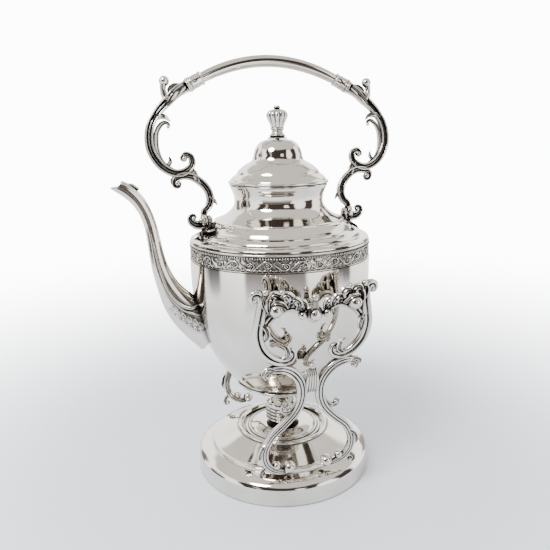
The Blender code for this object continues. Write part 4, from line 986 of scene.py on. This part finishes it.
def on_spout(s, z, lift=0.3):
    """A point on the spout's side: its place in the plane, and how far out the oval skin is there."""
    nearest = (1e9, 0.0)
    for low, high in zip(STATIONS, STATIONS[1:]):
        for k in range(11):
            spot = [a + (b - a) * k / 10.0 for a, b in zip(low, high)]
            away = math.hypot(spot[0] - s, spot[1] - z)
            out = spot[3] * math.sqrt(max(0.04, 1.0 - (away / spot[2]) ** 2))
            nearest = min(nearest, (away, out))
    return (s, z, nearest[1] + lift)


SIDE_RIB = [(71.5, 166.0), (75.3, 163.3), (82.1, 161.3), (88.6, 163.5), (94.7, 169.0), (99.9, 176.9),
            (103.2, 186.4), (106.4, 199.3), (108.6, 212.7), (111.0, 226.0)]
LOWER_RIB = [(72.0, 154.6), (79.0, 156.0), (88.0, 159.9), (95.7, 167.3), (101.5, 176.1), (104.4, 184.8)]
PANEL = [(75.0, 143.6), (79.6, 146.8), (84.3, 150.1), (89.0, 153.8), (93.6, 157.6), (97.6, 161.6)]
spout_scrolls = [
    ("round", [on_spout(*spot) for spot in SIDE_RIB], [1.6, 1.6, 1.5, 1.5, 1.4, 1.3, 1.2, 1.1, 0.8, 0.3]),
    ("round", [on_spout(*spot) for spot in LOWER_RIB], [1.0, 1.0, 1.0, 0.9, 0.7, 0.3]),
    ("round", [(127.4, 265.6, 0.0), (122.4, 265.2, 0.0), (117.4, 261.8, 0.0)], [1.2, 1.5, 1.0]),
]
for k, (s, z) in enumerate(PANEL):
    big = 1.0 - 0.10 * k
    for flip in (1.0, -1.0):
        turns = [(-1.6, 0.2), (-0.4, 2.6), (2.0, 3.4), (3.2, 1.8), (1.8, 0.8)]
        spout_scrolls.append(("round", [on_spout(s + (a - 0.6 * b * flip) * big,
                                                 z + (0.7 * a + b * flip) * big, 0.1)
                                        for a, b in turns], [0.5, 0.8, 0.8, 0.6, 0.4]))
ribs = []
for side, word in ((1.0, "front"), (-1.0, "back")):
    rib = cast("spout_ribs_" + word, spout_scrolls, [on_spout(72.4, 166.4, 0.2) + (2.9,)])
    put(rib, (-1.0, 0.0, 0.0), (0.0, 0.0, 1.0), (0.0, -side, 0.0), Vector((0.0, 0.0, 0.0)))
    ribs.append(rib)
spout = joined(spout_parts + ribs)
spout.name = "swan_neck_spout"
finish_piece(spout, cast_silver, "kettle", "spout", angle=60.0)

# %% [markdown]
# The ornament band is rolled: a running vine of scrolls and little flowers in low relief, with a
# row of beads above it and small scallops below. One repeat is drawn flat, copied along a strip,
# and the strip is wrapped round the kettle by turning its length into an angle.

# %% ornament band
REPEATS = 18
BAND_FACE = BAND_R - 1.2
REPEAT_LONG = 2.0 * math.pi * BAND_FACE / REPEATS
VINE_LEAVES = [  # points along and up, and the half-width in the middle
    ([(0.20, 0.8), (0.10, 2.6), (0.16, 4.0)], 1.0),
    ([(0.44, 3.0), (0.34, 1.6), (0.24, -0.6)], 0.9),
    ([(0.84, 1.6), (0.98, 2.8), (1.06, 4.0)], 1.0),
    ([(0.76, -1.4), (0.86, -2.8), (1.0, -3.6)], 1.0),
    ([(0.46, -1.5), (0.34, -2.9), (0.20, -3.8)], 1.0),
]
band_ring = [(BAND_FACE - 1.0, BAND_LOW), (BAND_FACE + 0.2, BAND_LOW), (BAND_FACE + 0.7, BAND_LOW + 0.3)]
band_ring += [(BAND_FACE + 0.7, BAND_LOW + 0.9), (BAND_FACE, BAND_LOW + 1.2), (BAND_FACE, BAND_TOP - 1.9)]
band_ring += [(BAND_FACE + 0.2, BAND_TOP - 1.7), (BAND_FACE + 0.2, BAND_TOP), (BAND_FACE - 1.0, BAND_TOP)]
band_blank = spin("band_blank", band_ring, 144)


def one_repeat():
    """One repeat of the vine, drawn flat: along, up and out in millimetres."""
    low = BAND_LOW + 1.2
    tall = BAND_TOP - 1.9 - low
    scrolls = []
    drops = []
    for half, flip in ((0.0, 1.0), (0.5, -1.0)):
        start = half * REPEAT_LONG
        centre = low + tall * 0.5

        def at(along, up, out=0.25, start=start, flip=flip, centre=centre):
            return (start + along, centre + flip * up, out)

        long = REPEAT_LONG / 2.0
        vine = [at(-0.10 * long, -2.6), at(0.18 * long, 0.6), at(0.42 * long, 3.1), at(0.72 * long, 2.8),
                at(0.86 * long, 0.3), at(0.70 * long, -1.7), at(0.46 * long, -1.2), at(0.44 * long, 0.6)]
        scrolls.append(("round", vine, [0.35, 0.62, 0.72, 0.66, 0.60, 0.5, 0.4, 0.3]))
        for leaf, wide in VINE_LEAVES:
            scrolls.append(("leaf", [at(along * long, up) for along, up in leaf], [0.4, wide, 0.3]))
        for petal in range(5):
            turn = 2.0 * math.pi * petal / 5.0
            drops.append((start + 0.62 * long + 1.05 * math.cos(turn),
                          centre + flip * 0.5 + 1.05 * math.sin(turn),
                          0.35, 0.55))
        drops.append((start + 0.62 * long, centre + flip * 0.5, 0.6, 0.5))
    return scrolls, drops


def small_drop(along, up, out, radius):
    """A bead of only a few faces, for rows of hundreds."""
    nothing_selected()
    bpy.ops.mesh.primitive_ico_sphere_add(subdivisions=2, radius=radius, location=(along, up, out))
    bpy.ops.object.transform_apply(location=True, rotation=True, scale=True)
    return bpy.context.object


repeat_scrolls, repeat_drops = one_repeat()
repeat = cast("vine_repeat", repeat_scrolls, cuts=3)
repeat_parts = [repeat] + [small_drop(*facts) for facts in repeat_drops]
BEADS = 13
SCALLOPS = 6
for k in range(BEADS):
    repeat_parts.append(small_drop((k + 0.5) * REPEAT_LONG / BEADS, BAND_TOP - 0.9, 0.35, 0.86))
scallops = []
for k in range(SCALLOPS):
    start = k * REPEAT_LONG / SCALLOPS
    wide = REPEAT_LONG / SCALLOPS
    scallops.append(("round", [(start, BAND_LOW + 1.3, 0.3), (start + wide * 0.2, BAND_LOW + 2.2, 0.3),
                               (start + wide * 0.5, BAND_LOW + 2.5, 0.3),
                               (start + wide * 0.8, BAND_LOW + 2.2, 0.3),
                               (start + wide, BAND_LOW + 1.3, 0.3)], [0.3, 0.36, 0.3]))
repeat_parts.append(cast("scallops", scallops, cuts=2))
repeat = joined(repeat_parts)
only(repeat)
bpy.ops.object.modifier_add(type="ARRAY")
row = repeat.modifiers[-1]
row.count = REPEATS
row.use_relative_offset = False
row.use_constant_offset = True
row.constant_offset_displace = (REPEAT_LONG, 0.0, 0.0)
bpy.ops.object.modifier_apply(modifier=row.name)
for vert in repeat.data.vertices:
    angle = vert.co.x / BAND_FACE
    radius = (BAND_FACE + vert.co.z) * MM
    vert.co = (radius * math.cos(angle), radius * math.sin(angle), vert.co.y * MM)
band = joined([band_blank, repeat])
band.name = "ornament_band_relief"
finish_piece(band, cast_silver, "kettle", "ornament_band")

# %% [markdown]
# The sections were only guides, so they go before the scene is checked.

# %% remove guides
for guide in list(sections.values()):
    bpy.data.objects.remove(guide)

# %% [markdown]
# The kettle stands on a pale, slightly blue surface that fades out all round, so no horizon
# shows. The surface is satin, and it gives the silver something calm to mirror from below.

# %% floor
nothing_selected()
bpy.ops.mesh.primitive_circle_add(vertices=128, radius=1.6, fill_type="NGON", location=(0.0, 0.0, -0.0002))
bpy.ops.object.transform_apply(location=True, rotation=True, scale=True)
floor = bpy.context.object
floor.name = "floor"


def floor_finish():
    mat = bpy.data.materials.new("pale_floor")
    mat.use_nodes = True
    tree = mat.node_tree
    shader = tree.nodes["Principled BSDF"]
    shader.inputs["Base Color"].default_value = linear("E6EDF8")
    shader.inputs["Roughness"].default_value = 0.7
    place = add(tree, "ShaderNodeTexCoord").outputs["Object"]
    reach = add(tree, "ShaderNodeVectorMath", {"operation": "LENGTH"}, i0=place)
    fade = add(tree, "ShaderNodeMapRange", {"interpolation_type": "SMOOTHSTEP", "From Min": 0.16,
                                            "From Max": 1.1},
               Value=reach.outputs["Value"])
    clear = add(tree, "ShaderNodeBsdfTransparent")
    mix = add(tree, "ShaderNodeMixShader", {}, i0=fade.outputs["Result"], i1=shader.outputs["BSDF"],
              i2=clear.outputs["BSDF"])
    tree.links.new(mix.outputs["Shader"], tree.nodes["Material Output"].inputs["Surface"])
    return mat


floor.data.materials.append(floor_finish())

# %% [markdown]
# Silver shows the room and hardly anything of its own. The world is a white tent with an
# opening on the viewer's side, so the metal gets broad white planes cut by warm dark shapes.
# The background that is seen directly stays a plain near-white.

# %% tent and lights
TURN = math.radians(17.0)
world = bpy.data.worlds.new("light_tent")
bpy.context.scene.world = world
world.use_nodes = True
tree = world.node_tree
way = add(tree, "ShaderNodeTexCoord").outputs["Generated"]
turned = add(tree, "ShaderNodeVectorRotate", {"rotation_type": "Z_AXIS", "Angle": TURN}, Vector=way)
wobble = add(tree, "ShaderNodeTexNoise", {"Scale": 2.6, "Detail": 3.0}, Vector=turned.outputs["Vector"])
spread = add(tree, "ShaderNodeMixRGB", {"blend_type": "ADD", 0: 0.16}, i1=turned.outputs["Vector"],
             i2=wobble.outputs["Color"])
parts = add(tree, "ShaderNodeSeparateXYZ", {}, Vector=spread.outputs["Color"])


def strip(socket, low, high, soft):
    """1 between two values and 0 outside them, with soft edges."""
    up = add(tree, "ShaderNodeMapRange", {"interpolation_type": "SMOOTHSTEP", "From Min": low - soft,
                                          "From Max": low + soft}, Value=socket)
    down = add(tree, "ShaderNodeMapRange", {"interpolation_type": "SMOOTHSTEP", "From Min": high - soft,
                                            "From Max": high + soft, "To Min": 1.0, "To Max": 0.0},
               Value=socket)
    return add(tree, "ShaderNodeMath", {"operation": "MULTIPLY"}, i0=up.outputs["Result"],
               i1=down.outputs["Result"]).outputs["Value"]


def both(one, other):
    return add(tree, "ShaderNodeMath", {"operation": "MULTIPLY"}, i0=one, i1=other).outputs["Value"]


sideways = parts.outputs["X"]
away = parts.outputs["Y"]
upwards = parts.outputs["Z"]
SHAPES = [  # what stands in the room: sideways from and to, away from and to, up from and to, tone
    ((-1.5, 1.5), (-1.5, 1.5), (0.66, 1.5), "A3A19E"),    # ceiling
    ((-0.70, 0.72), (-1.5, -0.28), (-0.04, 0.74), "2C2522"),   # dark room behind the viewer
    ((-0.60, 0.62), (-1.5, -0.30), (-0.36, -0.02), "4E4540"),  # its floor and furniture
    ((0.34, 0.50), (-1.5, -0.40), (0.16, 0.46), "E6EAF0"),     # window in it
    ((-0.46, -0.38), (-1.5, -0.40), (0.00, 0.60), "9A9590"),   # door frame in it
    ((-1.5, -0.84), (-0.12, 0.36), (-0.24, 0.80), "241F1D"),   # dark curtain on the left
    ((0.86, 1.5), (-0.26, 0.20), (-0.20, 0.74), "2E2926"),     # dark screen on the right
    ((0.56, 0.84), (0.46, 1.5), (-0.10, 0.40), "77736F"),      # grey wall behind on the right
    ((-0.80, -0.60), (0.50, 1.5), (-0.10, 0.50), "5C5753"),    # grey wall behind on the left
]
WHITE = 3.4
tent = add(tree, "ShaderNodeRGB")
tent.outputs[0].default_value = linear("F4F4F2")
colour = tent.outputs[0]
for across_span, away_span, up_span, tone in SHAPES:
    shape = both(both(strip(sideways, *across_span, 0.04), strip(away, *away_span, 0.05)),
                 strip(upwards, *up_span, 0.04))
    painted = add(tree, "ShaderNodeMix", {"data_type": "RGBA", 7: linear(tone)}, i0=shape, i6=colour)
    colour = painted.outputs[2]
mirror = add(tree, "ShaderNodeBackground", {"Strength": WHITE}, Color=colour)
plain = add(tree, "ShaderNodeBackground", {"Color": linear("FAFCFE"), "Strength": 13.0})
seen = add(tree, "ShaderNodeLightPath")
choice = add(tree, "ShaderNodeMixShader", {}, i0=seen.outputs["Is Camera Ray"],
             i1=mirror.outputs["Background"],
             i2=plain.outputs["Background"])
tree.links.new(choice.outputs["Shader"], tree.nodes["World Output"].inputs["Surface"])
KEY_SIZE, KEY_POWER = 0.5, 20.0
key_data = bpy.data.lights.new("key", "AREA")
key_data.shape = "DISK"
key_data.size = KEY_SIZE
key_data.energy = KEY_POWER
key = bpy.data.objects.new("key", key_data)
bpy.context.collection.objects.link(key)
key.location = (-0.7, -0.5, 1.1)
key.rotation_euler = (Vector((0.0, 0.0, 0.15)) - key.location).to_track_quat("-Z", "Y").to_euler()
print("world and key light ready")

# %% [markdown]
# The camera stands half a metre off, a little to the spout's side and above the lid, and looks
# down by about fourteen degrees.

# %% camera
DISTANCE, HEIGHT = 0.4966, 0.3018
PITCH, ROLL = math.radians(13.745), math.radians(-1.07)
SENSOR, FOCAL, SIDE_SHIFT, NEAREST = 36.0, 36.0 * 57.0 / 55.0, -1.0 / 110.0, 0.01
camera_data = bpy.data.cameras.new("camera")
camera = bpy.data.objects.new("camera", camera_data)
bpy.context.scene.collection.objects.link(camera)
bpy.context.scene.camera = camera
camera_data.sensor_width = SENSOR
camera_data.lens = FOCAL
camera_data.shift_x = SIDE_SHIFT
camera_data.clip_start = NEAREST
stand_at = Matrix.Rotation(-TURN, 4, "Z") @ Matrix.Translation((0.0, -DISTANCE, HEIGHT))
looking = Matrix.Rotation(math.pi / 2.0 - PITCH, 4, "X") @ Matrix.Rotation(ROLL, 4, "Z")
camera.matrix_world = stand_at @ looking
